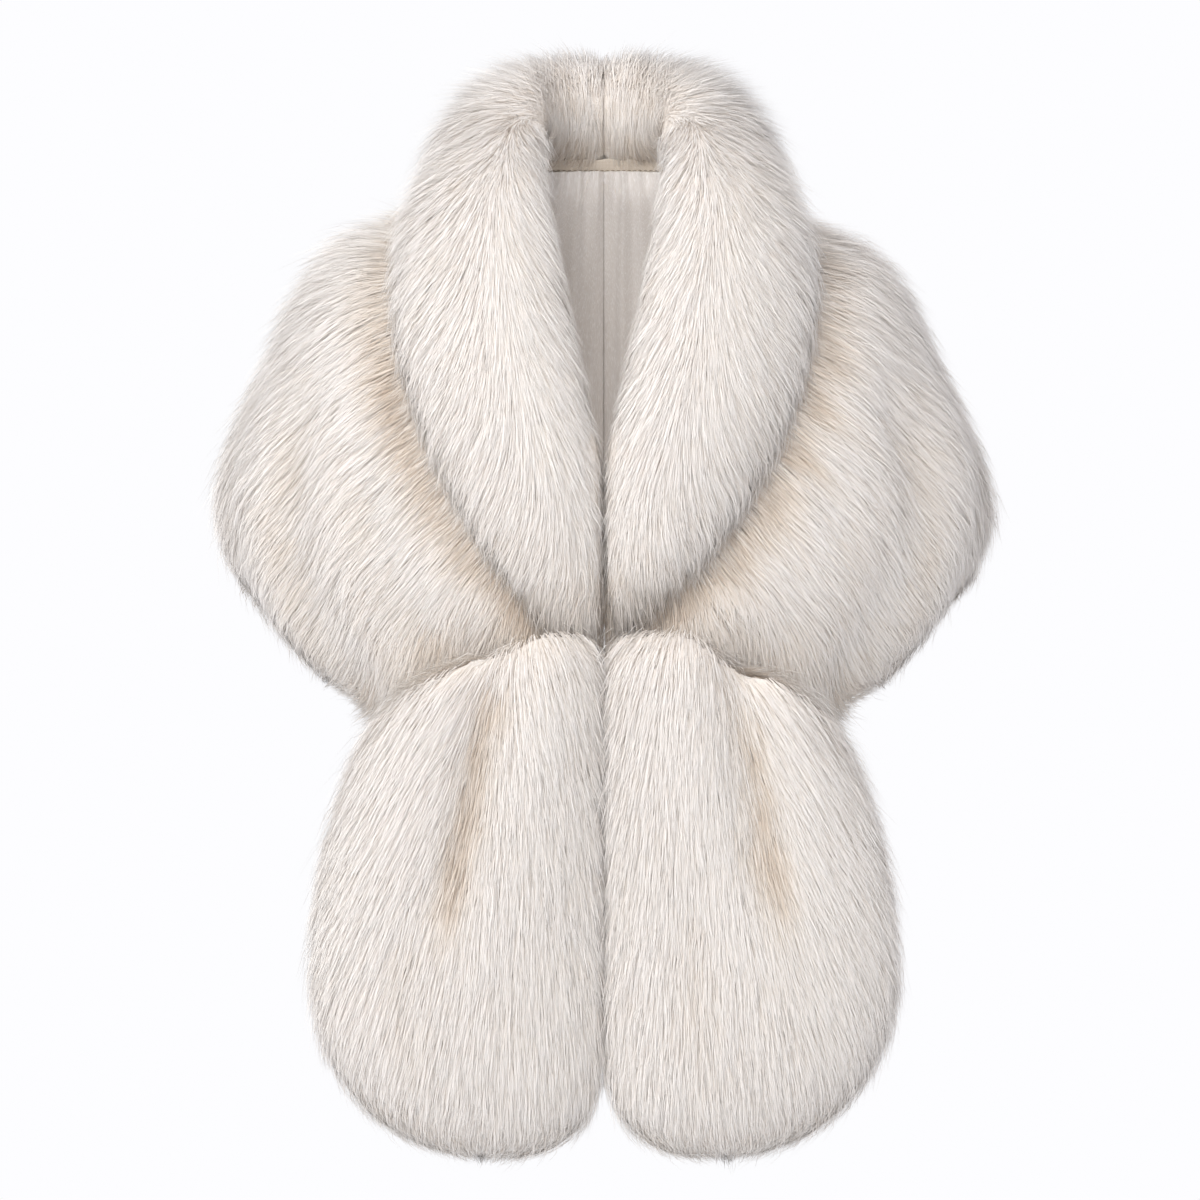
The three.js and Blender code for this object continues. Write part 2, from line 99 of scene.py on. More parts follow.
def place_in_scene(thing):
    """Links an object to the scene and returns it."""
    bpy.context.scene.collection.objects.link(thing)
    return thing


def add_lamp(name, place, side, power, colour):
    """A square soft lamp at a place, turned so that its light falls on the middle of the wrap."""
    data = bpy.data.lights.new(name, "AREA")
    data.size = side
    data.energy = power
    data.color = to_linear(colour)[:3]
    lamp = place_in_scene(bpy.data.objects.new(name, data))
    lamp.location = place
    towards = np.array((VIEW_CENTRE[0], 0, VIEW_CENTRE[1])) - np.array(place)
    lamp.rotation_mode = "QUATERNION"
    lamp.rotation_quaternion = Vector(towards).to_track_quat("-Z", "Y")
    return lamp


camera_data = bpy.data.cameras.new("camera")
camera_data.sensor_width = 36
camera_data.lens = camera_data.sensor_width * CAMERA_AWAY / FRAME_WIDE
camera = place_in_scene(bpy.data.objects.new("camera", camera_data))
camera.location = (VIEW_CENTRE[0], FRONT_PLANE - CAMERA_AWAY, VIEW_CENTRE[1])
camera.rotation_euler = (np.pi / 2, 0, 0)
bpy.context.scene.camera = camera

world = bpy.data.worlds.new("studio")
bpy.context.scene.world = world
world.use_nodes = True
direction = add_node(world.node_tree, "ShaderNodeTexCoord").outputs["Generated"]
backwards = add_node(world.node_tree, "ShaderNodeSeparateXYZ", links={"Vector": direction})
backdrop = add_node(
    world.node_tree,
    "ShaderNodeMapRange",
    {"From Min": 0.86, "From Max": 0.97},
    {"Value": backwards.outputs["Y"]},
)
walls = add_node(
    world.node_tree,
    "ShaderNodeValToRGB",
    links={"Fac": backdrop.outputs[0]},
    stops=[(0.0, "#dedee2"), (1.0, "#fdfdff")],
)
world.node_tree.links.new(
    walls.outputs[0], world.node_tree.nodes["Background"].inputs["Color"]
)
bpy.context.scene.view_settings.view_transform = "Standard"

add_lamp("key_lamp", (-2.1, -2.8, 1.1), 2.2, 52, "#fffdfa")
add_lamp("high_lamp", (-0.6, -2.9, 1.8), 0.9, 34, "#fffdfa")
add_lamp("front_lamp", (-0.5, -5.8, 0.2), 1.4, 36, "#fffdfa")

floor_corner = np.array([[-1, -1], [1, -1], [1, 1], [-1, 1]]) * FLOOR_SIDE / 2
floor_mesh = bpy.data.meshes.new("floor")
floor_mesh.from_pydata(
    [(x, y, FLOOR_HEIGHT) for x, y in floor_corner.tolist()], [], [(0, 1, 2, 3)]
)
floor = place_in_scene(bpy.data.objects.new("floor", floor_mesh))
print("lens", round(camera_data.lens), "mm")

# %% [markdown]
# ## The finishes
#
# ** Faux fur pile** is acrylic or modacrylic fibre, spun through a die and brushed up from a knitted
# back. Its fine hairs are smooth, so a lock has a soft broad gloss. Less light reaches down between
# the roots, so the roots are painted beige and the tips nearly white, as painted shade. Each hair
# carries two numbers in its own map: how much painted shade it has, with a random tone, and how far
# along it a point lies.
#
# **Dense underfur** is the short crimped fibre between the hairs. **Knitted backing** is what the inside
# of the cape shows. **Polyester satin** floats its bright threads over the dull ones, so it is glossy
# across them. **Cotton tape** at the nape is matt, with a plain weave.

# %% Start and end a material
def new_material(name):
    """An empty material with its own node tree."""
    finish = bpy.data.materials.new(name)
    finish.use_nodes = True
    finish.node_tree.nodes.clear()
    return finish, finish.node_tree


def finished(tree, colour, roughness, normal=None, **constants):
    """Ends a material with the Principled shader: colour, roughness and normal are linked, and every
    other value is set on the shader's own input."""
    links = {"Base Color": colour, "Roughness": roughness}
    if normal:
        links["Normal"] = normal
    shader = add_node(
        tree,
        "ShaderNodeBsdfPrincipled",
        {name.replace("_", " "): value for name, value in constants.items()},
        links,
    )
    add_node(tree, "ShaderNodeOutputMaterial", links={"Surface": shader.outputs[0]})


# %% Faux fur pile, with painted shade: beige at the root and nearly white at the tip
pile, tree = new_material("faux_fur_pile")
own_map = add_node(tree, "ShaderNodeUVMap", {"uv_map": "OFBake"})
numbers = add_node(tree, "ShaderNodeSeparateXYZ", links={"Vector": own_map.outputs[0]})
# Painted shade: this ramp paints the root of each hair beige, where less light reaches deep in the pile,
# and the tip nearly white.
along = add_node(
    tree,
    "ShaderNodeValToRGB",
    links={"Fac": numbers.outputs["Y"]},
    stops=[(0.0, "#e6dbcf"), (0.3, "#f0e8e0"), (0.6, "#f5f1ed"), (1.0, "#f8f6f4")],
)
# Painted shade: the hair's first number, from hollows, fur close ahead or beside and the waist, darkens it
# to beige, with a random tone on top.
shaded = add_node(
    tree,
    "ShaderNodeValToRGB",
    links={"Fac": numbers.outputs["X"]},
    stops=[(0.0, "#ffffff"), (0.35, "#fbf9f6"), (0.7, "#eee5da"), (1.0, "#dccebf")],
)
shaded_colour = add_node(
    tree,
    "ShaderNodeMix",
    {"data_type": "RGBA", "blend_type": "MULTIPLY", 0: 1.0},
    {6: along.outputs[0], 7: shaded.outputs[0]},
)
smoother = add_node(
    tree,
    "ShaderNodeMapRange",
    {"To Min": 0.65, "To Max": 0.42},
    {"Value": numbers.outputs["Y"]},
)
finished(
    tree,
    shaded_colour.outputs[2],
    smoother.outputs[0],
    Specular_IOR_Level=0.35,
    Sheen_Weight=0.15,
    Sheen_Roughness=0.4,
)

print(pile.name, "has", len(tree.nodes), "nodes")

# %% Dense underfur, crimped fibre in soft patches
FIBRE_CRIMP = 1.4 * MM
UNDERFUR_PATCH = 22 * MM
underfur, tree = new_material("dense_underfur")
here = add_node(tree, "ShaderNodeTexCoord").outputs["Object"]
crimp = add_node(
    tree, "ShaderNodeTexNoise", {"Scale": 1 / FIBRE_CRIMP, "Detail": 3.0}, {"Vector": here}
)
patches = add_node(
    tree, "ShaderNodeTexNoise", {"Scale": 1 / UNDERFUR_PATCH, "Detail": 2.0}, {"Vector": here}
)
mixed = add_node(
    tree,
    "ShaderNodeMix",
    {"data_type": "FLOAT", 0: 0.45},
    {2: crimp.outputs["Fac"], 3: patches.outputs["Fac"]},
)
tone = add_node(
    tree,
    "ShaderNodeValToRGB",
    links={"Fac": mixed.outputs[0]},
    stops=[(0.3, "#e8ded2"), (0.5, "#f1eae2"), (0.7, "#f6f2ee")],
)
dull = add_node(
    tree, "ShaderNodeMapRange", {"To Min": 0.95, "To Max": 0.75}, {"Value": crimp.outputs["Fac"]}
)
raised = add_node(
    tree,
    "ShaderNodeBump",
    {"Strength": 0.8, "Distance": 1.2 * MM},
    {"Height": crimp.outputs["Fac"]},
)
finished(
    tree, tone.outputs[0], dull.outputs[0], raised.outputs[0], Specular_IOR_Level=0.2
)

print(underfur.name, "has crimps", FIBRE_CRIMP / MM, "mm apart")

# %% Knitted backing, in rows of loops
# A wave texture of scale 0.314 has one band a metre, so 0.314 over a length gives bands that far apart.
ONE_BAND = 0.314
WALE = 1.8 * MM
backing, tree = new_material("knitted_backing")
here = add_node(tree, "ShaderNodeTexCoord").outputs["Object"]
wales = add_node(
    tree,
    "ShaderNodeTexWave",
    {"bands_direction": "X", "Scale": ONE_BAND / WALE, "Distortion": 1.5, "Detail": 1.0},
    {"Vector": here},
)
courses = add_node(
    tree,
    "ShaderNodeTexWave",
    {"bands_direction": "Z", "Scale": ONE_BAND / WALE, "Distortion": 2.5, "Detail": 1.0},
    {"Vector": here},
)
loops = add_node(
    tree, "ShaderNodeMath", {"operation": "MULTIPLY"}, {0: wales.outputs[1], 1: courses.outputs[1]}
)
tone = add_node(
    tree,
    "ShaderNodeValToRGB",
    links={"Fac": loops.outputs[0]},
    stops=[(0.0, "#cfc3b4"), (1.0, "#ece5dc")],
)
dull = add_node(
    tree, "ShaderNodeMapRange", {"To Min": 0.95, "To Max": 0.8}, {"Value": loops.outputs[0]}
)
raised = add_node(
    tree,
    "ShaderNodeBump",
    {"Strength": 0.6, "Distance": 0.5 * MM},
    {"Height": loops.outputs[0]},
)
finished(
    tree, tone.outputs[0], dull.outputs[0], raised.outputs[0], Specular_IOR_Level=0.2
)
print("materials:", [m.name for m in bpy.data.materials])

# %% [markdown]
# ## The underfur forms
#
# Under its long hairs each fur piece is a soft body: the backing with its dense underfur. Sculpting could
# make it, but the CAD solid already has the piece's folds and its rolled edge. A voxel remesh evens out the
# solid's facets to small cells, and then the furred faces move in, by up to 4 mm and at most half of
# what is there, so that the hairs fill the space up to the solid's face. The inner faces of the cape
# keep their place on the body: there the knitted backing is a thin closed sheet of its own, cut from
# the even cells that look at the body, and the underfur starts behind it. Next to a seam the faces stay
# too, and fur grows up to it, so that a seam shows as a faint parting and not as a gap.

# %% Directions and steps
def unit(vectors):
    """Each vector divided by its length."""
    return vectors / np.maximum(np.linalg.norm(vectors, axis=-1, keepdims=True), 1e-9)


def dot(a, b):
    """Sum of the products of two arrays' parts, kept as a last axis of one."""
    return (a * b).sum(-1, keepdims=True)


def ease(low, high, values):
    """A smooth step from 0 at low to 1 at high: t squared times three less two t."""
    t = np.clip((values - low) / (high - low), 0, 1)
    return t * t * (3 - 2 * t)


# %% Read a mesh, and draw points on it
def corners_of(mesh):
    """The vertices of a mesh and the three vertex numbers of each of its triangles."""
    mesh.calc_loop_triangles()
    place = np.empty(len(mesh.vertices) * 3)
    mesh.vertices.foreach_get("co", place)
    corner = np.empty(len(mesh.loop_triangles) * 3, np.int32)
    mesh.loop_triangles.foreach_get("vertices", corner)
    return place.reshape(-1, 3), corner.reshape(-1, 3)


def normals_of(mesh):
    """The normal at each vertex."""
    normal = np.empty(len(mesh.vertices) * 3)
    mesh.vertices.foreach_get("normal", normal)
    return normal.reshape(-1, 3)


def across_of(place, corner):
    """The cross product of two sides of each triangle: it points outwards, and is as long as twice the
    triangle's area."""
    a, b, c = place[corner[:, 0]], place[corner[:, 1]], place[corner[:, 2]]
    return np.cross(b - a, c - a)


def area_of(place, corner):
    """The area of all the triangles together, in square metres: half the lengths of their cross
    products, added up."""
    return np.linalg.norm(across_of(place, corner), axis=1).sum() / 2


def spread_over(place, corner, amount, rng, weight=None):
    """Random points on triangles. A triangle is drawn by its area times its weight, and the point in it
    by two random shares folded over where they sum to more than one."""
    area = np.linalg.norm(across_of(place, corner), axis=1)
    if weight is not None:
        area = area * weight[corner].mean(1)
    edge = np.cumsum(area)
    chosen = np.searchsorted(edge, rng.random(amount) * edge[-1]).clip(0, len(corner) - 1)
    share = rng.random((amount, 2))
    share = np.where(share.sum(1, keepdims=True) > 1, 1 - share, share)
    return corner[chosen], np.column_stack([1 - share.sum(1), share])


def blended(values, corner, share):
    """A value at each random point, from its triangle's three corners by their shares."""
    return np.einsum("sk,sk...->s...", share, values[corner])


# %% Look for the nearest point
# Distances are worked out for 500 points at a time, which keeps the tables small. Where nothing is found
# ahead within 50 mm of the points, the distance is given as a metre.
BLOCK = 500
LOOK = 50 * MM
FAR = 1.0


def nearest(points, others):
    """For each point the number of the nearest of the others: least |q|^2 - 2 p.q."""
    found = np.empty(len(points), np.int64)
    size = (others**2).sum(1)
    for first in range(0, len(points), BLOCK):
        part = slice(first, first + BLOCK)
        found[part] = (size - 2 * points[part] @ others.T).argmin(1)
    return found


def to_nearest(points, others):
    """The distance from each point to the nearest of the others."""
    return np.linalg.norm(points - others[nearest(points, others)], axis=1)


def distance_ahead(points, heading, others, cone):
    """The distance from each point to the nearest of the others in front of it: of those q for which
    (q - p).heading is more than cone times |q - p|, the least |q - p|."""
    found = np.full(len(points), FAR)
    close = (others > points.min(0) - LOOK) & (others < points.max(0) + LOOK)
    others = others[close.all(1)]
    size = (others**2).sum(1)
    for first in range(0, len(points) if len(others) else 0, BLOCK):
        part = slice(first, first + BLOCK)
        p, d = points[part], heading[part]
        apart = np.sqrt(np.maximum(size + (p**2).sum(1)[:, None] - 2 * p @ others.T, 1e-12))
        forward = d @ others.T - (p * d).sum(1)[:, None]
        found[part] = np.where(forward > cone * apart, apart, FAR).min(1)
    return found


def evened(values, edge, times):
    """Values averaged over each vertex and its neighbours, a number of times."""
    flat = values.reshape(len(values), -1)
    for _ in range(times):
        total = flat.copy()
        np.add.at(total, edge[:, 0], flat[edge[:, 1]])
        np.add.at(total, edge[:, 1], flat[edge[:, 0]])
        count = 1 + np.bincount(edge.ravel(), minlength=len(flat))
        flat = total / count[:, None]
    return flat.reshape(values.shape)


# %% Make and copy meshes
CELL = 7.5 * MM
WELD_REACH = 0.01 * MM


def mesh_from(name, points, triangles, numbers=None):
    """A mesh from whole arrays, with the two numbers of each corner in its own map."""
    mesh = bpy.data.meshes.new(name)
    mesh.vertices.add(len(points))
    mesh.vertices.foreach_set("co", points.astype(np.float32).ravel())
    mesh.loops.add(triangles.size)
    mesh.loops.foreach_set("vertex_index", triangles.astype(np.int32).ravel())
    mesh.polygons.add(len(triangles))
    mesh.polygons.foreach_set("loop_start", np.arange(len(triangles), dtype=np.int32) * 3)
    mesh.update(calc_edges=True)
    if numbers is not None:
        own = mesh.uv_layers.new(name="OFBake")
        own.uv.foreach_set("vector", numbers[triangles.ravel()].astype(np.float32).ravel())
    return mesh


def welded_copy(node):
    """A copy of a CAD node, off its body, with a modifier that welds its loose triangles."""
    copy = nodes[node].copy()
    copy.data = copy.data.copy()
    copy.parent = None
    place_in_scene(copy).modifiers.new("weld", "WELD").merge_threshold = WELD_REACH
    return copy


def as_mesh(thing):
    """A new mesh with the object's modifiers applied. The object itself is removed."""
    ready = thing.evaluated_get(bpy.context.evaluated_depsgraph_get())
    mesh = bpy.data.meshes.new_from_object(ready)
    bpy.data.objects.remove(thing)
    return mesh


def smooth_faces(thing):
    """Shades all the faces of a piece smoothly."""
    thing.data.polygons.foreach_set("use_smooth", np.ones(len(thing.data.polygons), bool))


def only_material(thing, material):
    """Gives a piece one material in place of those that it came with."""
    thing.data.materials.clear()
    thing.data.materials.append(material)


print("one cell of the remesh is", CELL / MM, "mm")

# %% Which fur lies beside which
FUR_NODES = [
    "back_panel",
    "front_panel_left",
    "front_panel_right",
    "collar_left",
    "collar_right",
    "end_left",
    "end_right",
]
CAPE = FUR_NODES[:3]
COLLAR = FUR_NODES[3:5]
HANGING = FUR_NODES[5:]
BESIDE = dict.fromkeys(CAPE, COLLAR)
BESIDE.update(dict.fromkeys(COLLAR, CAPE))
BESIDE.update(dict.fromkeys(HANGING, CAPE))
print(len(FUR_NODES), "fur pieces")

# %% Even cells, and the side that looks at the body
BODY_TOP = -160 * MM
BODY_FOOT = -400 * MM


def even_mesh(node):
    """The node's solid as even cells: its loose triangles are welded, remeshed and smoothed."""
    copy = welded_copy(node)
    cells = copy.modifiers.new("cells", "REMESH")
    cells.mode = "VOXEL"
    cells.voxel_size = CELL
    copy.modifiers.new("smooth", "SMOOTH").iterations = 1
    return as_mesh(copy)


def towards_body(place, normal):
    """How far a face looks at the body, from -1 to 1: the normal against the way from the body's axis,
    whose own height follows the point between the chest and the hem."""
    axis = np.zeros_like(place)
    axis[:, 2] = np.clip(place[:, 2], BODY_FOOT, BODY_TOP)
    return -dot(unit(place - axis), normal)[:, 0]


# %% The knitted backing as a closed sheet
BACKING_THICK = 1.2 * MM


def add_backing(node, place, corner, normal, inside):
    """The knitted backing of a cape piece: a closed sheet from the triangles that look at the body. Its
    two walls are the cells' points and the same points moved away from the body by the cloth's
    thickness, and a rim joins them along the edges that only one triangle uses."""
    kept, face = np.unique(corner[inside[corner].min(1) > 0.5], return_inverse=True)
    face = face.reshape(-1, 3)
    near_wall = place[kept]
    far_wall = near_wall - normal[kept] * BACKING_THICK
    edge = face[:, [0, 1, 1, 2, 2, 0]].reshape(-1, 2)
    _, which, uses = np.unique(
        np.sort(edge, 1), axis=0, return_inverse=True, return_counts=True
    )
    rim = edge[uses[which.ravel()] == 1]
    far_rim = rim + len(kept)
    triangles = np.concatenate(
        [
            face,
            face[:, ::-1] + len(kept),
            np.column_stack([rim[:, 1], rim[:, 0], far_rim[:, 0]]),
            np.column_stack([rim[:, 1], far_rim[:, 0], far_rim[:, 1]]),
        ]
    )
    name = node + "_backing"
    sheet = bpy.data.objects.new(
        name, mesh_from(name, np.concatenate([near_wall, far_wall]), triangles)
    )
    place_in_scene(sheet).data.materials.append(backing)
    smooth_faces(sheet)
    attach(sheet, "root")
    print(name, round(area_of(near_wall, face), 4), "square metres")


# %% Close the collar's seam at the nape
SEAM_WIDE = 11 * MM
SEAM_DRAWN = 3.2 * MM
SEAM_BACK = (-20 * MM, 10 * MM)
HALF_GAP = 0.15 * MM


def closed_seam(place):
    """The collar's x, drawn towards the seam at the nape, where the remesh has rounded the edges: less a
    distance that fades to nothing, and never past the half gap."""
    side, x = np.sign(place[:, 0]), np.abs(place[:, 0])
    drawn = SEAM_DRAWN * (1 - ease(0, SEAM_WIDE, x)) * ease(*SEAM_BACK, place[:, 1])
    return side * np.maximum(x - drawn, np.minimum(x, HALF_GAP))


# %% Points on the CAD faces
# They stand for each solid's surface when something measures how far away it is.
SURFACE_POINTS = 8000
surface_points, surface_normals = {}, {}
for number, node in enumerate(FUR_NODES):
    place, corner = corners_of(nodes[node].data)
    rng = np.random.default_rng(100 + number)
    drawn, share = spread_over(place, corner, SURFACE_POINTS, rng)
    surface_points[node] = blended(place, drawn, share)
    surface_normals[node] = unit(across_of(place, drawn))
    print(node, "has", round(area_of(place, corner), 3), "square metres of surface")

# %% Make the underfur forms
# cover is how far off the neighbouring fur lies ahead of a point, and furred and loose turn that into
# shares of hair and of inset. hollow is how far a point lies below the smoothed form.
PILE_DEEP = 4 * MM
MOST_INSET = 0.5
COVER_REACH = (4 * MM, 10 * MM)
COVER_CONE = 0.6
THICK_CONE = 0.8
BODY_SIDE = (0.25, 0.5)
BACKING_ROOM = 1.6 * MM
SEAM_REACH = (4 * MM, 16 * MM)
LOOSE_INSET = (0.05, 0.6)
HOLLOW_TIMES = 12

forms = {}
for node in FUR_NODES:
    mesh = even_mesh(node)
    place, corner = corners_of(mesh)
    normal = normals_of(mesh)
    edge = np.empty(len(mesh.edges) * 2, np.int32)
    mesh.edges.foreach_get("vertices", edge)
    edge = edge.reshape(-1, 2)
    over = np.concatenate([surface_points[n] for n in BESIDE[node]])
    cover = distance_ahead(place, normal, over, COVER_CONE)
    furred = evened(ease(*COVER_REACH, cover), edge, 1)
    touching = np.concatenate([surface_points[n] for n in CAPE + COLLAR if n != node])
    near_it = distance_ahead(place, normal, touching, COVER_CONE)
    loose = evened(ease(*COVER_REACH, near_it), edge, 1)
    if node in HANGING:
        furred = loose = np.ones_like(furred)
    if node in CAPE:
        inside = ease(*BODY_SIDE, towards_body(place, normal))
        furred = furred * (1 - inside)
        loose = loose * (1 - inside)
        add_backing(node, place, corner, normal, inside)
        place = place - normal * (inside * BACKING_ROOM)[:, None]
    thick = evened(distance_ahead(place, -normal, place, THICK_CONE), edge, 2)
    inset = np.minimum(PILE_DEEP, thick * MOST_INSET)
    inset = evened(inset * ease(*LOOSE_INSET, loose), edge, 3)
    if node != "back_panel":
        inset = inset * ease(*SEAM_REACH, np.abs(place[:, 0]))
    place = place - normal * inset[:, None]
    if node in COLLAR:
        place[:, 0] = closed_seam(place)
    hollow = dot(evened(place, edge, HOLLOW_TIMES) - place, normal)[:, 0]
    mesh.vertices.foreach_set("co", place.ravel())
    mesh.update()
    forms[node] = {
        "mesh": mesh,
        "place": place,
        "corner": corner,
        "normal": evened(normals_of(mesh), edge, 2),
        "edge": edge,
        "inset": inset,
        "hollow": hollow,
        "cover": cover,
        "furred": furred,
        "beside": to_nearest(place, over),
    }
    print(node, len(place), "points, inset up to", round(inset.max() / MM, 1), "mm")

# %% [markdown]
# ## Which way the fur lies
#
# Fur is cut and brushed so that its nap has one direction in each place. On this cape it runs out from
# the collar and down, steeper towards the hem. On the collar it parts along the top of the roll. At the
# nape it climbs the inner face, passes over the rim and falls behind. On each hanging end it fans out
# from the gathered waist.
#
# The nap could be combed by hand with guide hairs. Here each direction is a formula of the place, so
# that the two sides match without being copies.

# %% The nap of each piece
SLOPE_HEIGHT = np.array([-360, -340, -260, -190, -110, -60]) * MM
SLOPE_ANGLE = np.radians([52, 50, 46, 40, 30, 20])
BACK_SLOPE = np.radians(68)
MEETING_SLOPE = np.radians(66)
RIDGE_HEIGHT = np.array([-345, -304, -236, -199, -146, -56, 37]) * MM
RIDGE_OUT = np.array([6, 18, 55, 67, 78, 85, 52]) * MM
RIDGE_SLOPE = np.radians(80)
OUTER_SLOPE = np.radians(42)
INNER_SLOPE = np.radians(60)
LAPEL_WIDE = 70 * MM
WAIST_POINT = np.array([62, -140, -318]) * MM


def slanting(outwards, slope):
    """A direction across the front: outwards by the cosine of the slope, and down by its sine."""
    return np.column_stack([outwards * np.cos(slope), np.zeros(len(slope)), -np.sin(slope)])


def cape_nap(place, normal):
    """Out from the centre and down, by the slope for the height. Towards the back the slope turns
    steeper. The side is a smooth sign of x. Next to the centre front the fur turns inwards, so that
    the two panels' hairs meet in a herringbone."""
    x, y, z = place.T
    front = np.interp(z, SLOPE_HEIGHT, SLOPE_ANGLE)
    slope = front + (BACK_SLOPE - front) * ease(-40 * MM, 60 * MM, y)
    outwards = np.tanh(x / (30 * MM))
    middle = (1 - ease(20 * MM, 75 * MM, np.abs(x))) * ease(0, -40 * MM, y)
    outwards = outwards * (1 - 1.6 * middle)
    slope = slope + (MEETING_SLOPE - slope) * middle
    return slanting(outwards, slope)


def collar_nap(place, normal):
    """On the roll round the neck: the way round the neck crossed with the normal, so up inside, out
    over the rim and down outside. On the front: away from the ridge line on both sides, steepest on it.
    The angle round the neck turns one into the other."""
    x, y, z = place.T
    out = unit(place * [1, 1, 0])
    over_rim = np.cross(np.column_stack([-out[:, 1], out[:, 0], out[:, 2]]), normal)
    side = np.sign(x)
    from_ridge = (np.abs(x) - np.interp(z, RIDGE_HEIGHT, RIDGE_OUT)) / LAPEL_WIDE
    slope = np.where(
        from_ridge > 0,
        RIDGE_SLOPE + (OUTER_SLOPE - RIDGE_SLOPE) * ease(0, 1, from_ridge),
        RIDGE_SLOPE + (INNER_SLOPE - RIDGE_SLOPE) * ease(0, 0.7, -from_ridge),
    )
    on_front = slanting(side * np.tanh(from_ridge * 8), slope)
    turn = ease(np.radians(55), np.radians(85), np.arctan2(np.abs(x), -y))[:, None]
    return on_front + (over_rim - on_front) * turn


def end_nap(place, normal):
    """Away from the gathered waist point of the piece's own side."""
    side = np.sign(place[:, :1].mean())
    return place - WAIST_POINT * [side, 1, 1]


NAPS = dict.fromkeys(CAPE, cape_nap)
NAPS.update(dict.fromkeys(COLLAR, collar_nap))
NAPS.update(dict.fromkeys(HANGING, end_nap))

# %% Guide lines along the nap
# A hair is at most 46 mm long and its guide takes three steps. Its tip may end 8 mm outside the solid,
# 13 mm on the collar, 4 mm under a hem and 5 mm inside the neck.
HAIR_LONG = 46 * MM
STEPS = (0.36, 0.34, 0.30)
HUG = 0.7
TURN = 0.5
FUZZ = 6 * MM
TIP_OUTSIDE = 8 * MM
COLLAR_OUTSIDE = 13 * MM
UNDER_OUTSIDE = 4 * MM
LEAST_REACH = 0.38
INNER_OUTSIDE = 5 * MM
HANG = np.array([0.0, -0.25, -1.0])
FREE_TURN = 0.6
UNDER_SIDE = (0.1, 0.7)


def on_surface(heading, normal):
    """The part of a direction that lies in the surface, as a unit vector."""
    return unit(heading - dot(heading, normal) * normal)


def add_guides(form, nap):
    """A guide line from each vertex. Each step goes along the nap, then gives back part of the height
    that it gained over the nearest vertex's plane, or all of it where it sank. Over the waist the hairs
    hang freely and give none back. The next heading is a mix of the last one and the nap at the
    nearest vertex."""
    place, normal = form["place"], form["normal"]
    field = on_surface(evened(on_surface(nap(place, normal), normal), form["edge"], 3), normal)
    field = unit(field + (HANG - field) * form["free"][:, None] * FREE_TURN)
    at, up, heading = place, normal, field
    path, rise = [at], [up]
    for step in STEPS:
        at = at + heading * HAIR_LONG * step
        near = nearest(at, place)
        above = dot(at - place[near], normal[near])
        kept = HUG * (1 - form["free"][:, None])
        at = at - normal[near] * np.where(above > 0, kept * above, above)
        up = unit(up + normal[near])
        heading = unit(heading * (1 - TURN) + field[near] * TURN)
        path.append(at)
        rise.append(up)
    form["path"] = np.stack(path, 1)
    form["rise"] = np.stack(rise, 1)


def add_reach(node, form):
    """How much of its guide line a hair may use, so that its tip ends a little outside the solid: the
    height of a point over the nearest place on the solid is taken to grow evenly from root to tip."""
    solid, way = surface_points[node], surface_normals[node]
    tip = form["path"][:, -1] + form["rise"][:, -1] * (form["inset"] + FUZZ)[:, None]
    root = form["path"][:, 0]
    height = []
    for point in (root, tip):
        near = nearest(point, solid)
        height.append(dot(point - solid[near], way[near])[:, 0])
    under = ease(*UNDER_SIDE, -way[near][:, 2]) * (node not in COLLAR)
    outside = COLLAR_OUTSIDE if node in COLLAR else TIP_OUTSIDE
    outside = outside + (UNDER_OUTSIDE - outside) * under
    outside = outside + (INNER_OUTSIDE - outside) * form["inner"]
    share = (outside - height[0]) / np.maximum(height[1] - height[0], MM)
    share = np.maximum(share.clip(LEAST_REACH, 1.0), form["free"])
    form["reach"] = evened(share, form["edge"], 2)


# %% Lay the guides on every form
# free is where hairs hang loose, over the waist and at the lapels' tips. inner is where the collar faces
# the neck, so that its hairs stay short of the lining.
FREE_REACH = (25 * MM, 60 * MM)
LAPEL_TIP = (262 * MM, 335 * MM)
INNER_SIDE = (0.1, 0.6)

hanging_points = np.concatenate([surface_points[n] for n in HANGING])
for node, form in forms.items():
    form["free"] = np.zeros(len(form["place"]))
    inwards = -form["normal"][:, 0] * np.sign(form["place"][:, 0])
    form["inner"] = ease(*INNER_SIDE, inwards) * (node in COLLAR)
    if node in CAPE[1:]:
        form["free"] = 1 - ease(*FREE_REACH, to_nearest(form["place"], hanging_points))
    if node in COLLAR:
        form["free"] = ease(*LAPEL_TIP, -form["place"][:, 2])
    add_guides(form, NAPS[node])
    add_reach(node, form)
    print(node, "hairs use", round(form["reach"].mean(), 2), "of their length")

# %% [markdown]
# ## The hairs
#
# A hair system would draw the pile, but it isn't a mesh and the finished wrap has to be one. So each
# hair is a flat ribbon of a few triangles that tapers to a point. It starts in the underfur, rises, and
# bends over along its three nearest guide lines.
#
# Real pile isn't even: hairs cling together in fine tufts, and the tufts in larger locks that part and
# cross. Each hair is drawn part of the way to its tuft's middle line, and the tufts and locks are pushed
# sideways by random amounts. A ribbon is drawn about 0.6 mm wide, coarser than one fibre, because it
# stands for the few fibres that cling together.

# %% Tufts and locks
def tuft_number(place, size, shift):
    """The tuft that each point belongs to: the cell of a cubic grid, after sines have warped it."""
    warped = place + 0.45 * size * np.sin(place[:, [1, 2, 0]] * 2.1 / size + shift)
    cell = np.floor(warped / size + shift).astype(np.int64)
    return np.unique(cell @ np.array([73856093, 19349663, 83492791]), return_inverse=True)[1]


def tuft_mean(values, tuft):
    """The mean of the values in each point's tuft."""
    total = np.zeros((tuft.max() + 1, *values.shape[1:]))
    np.add.at(total, tuft, values)
    count = np.bincount(tuft).reshape(-1, *[1] * (values.ndim - 1))
    return (total / count)[tuft]


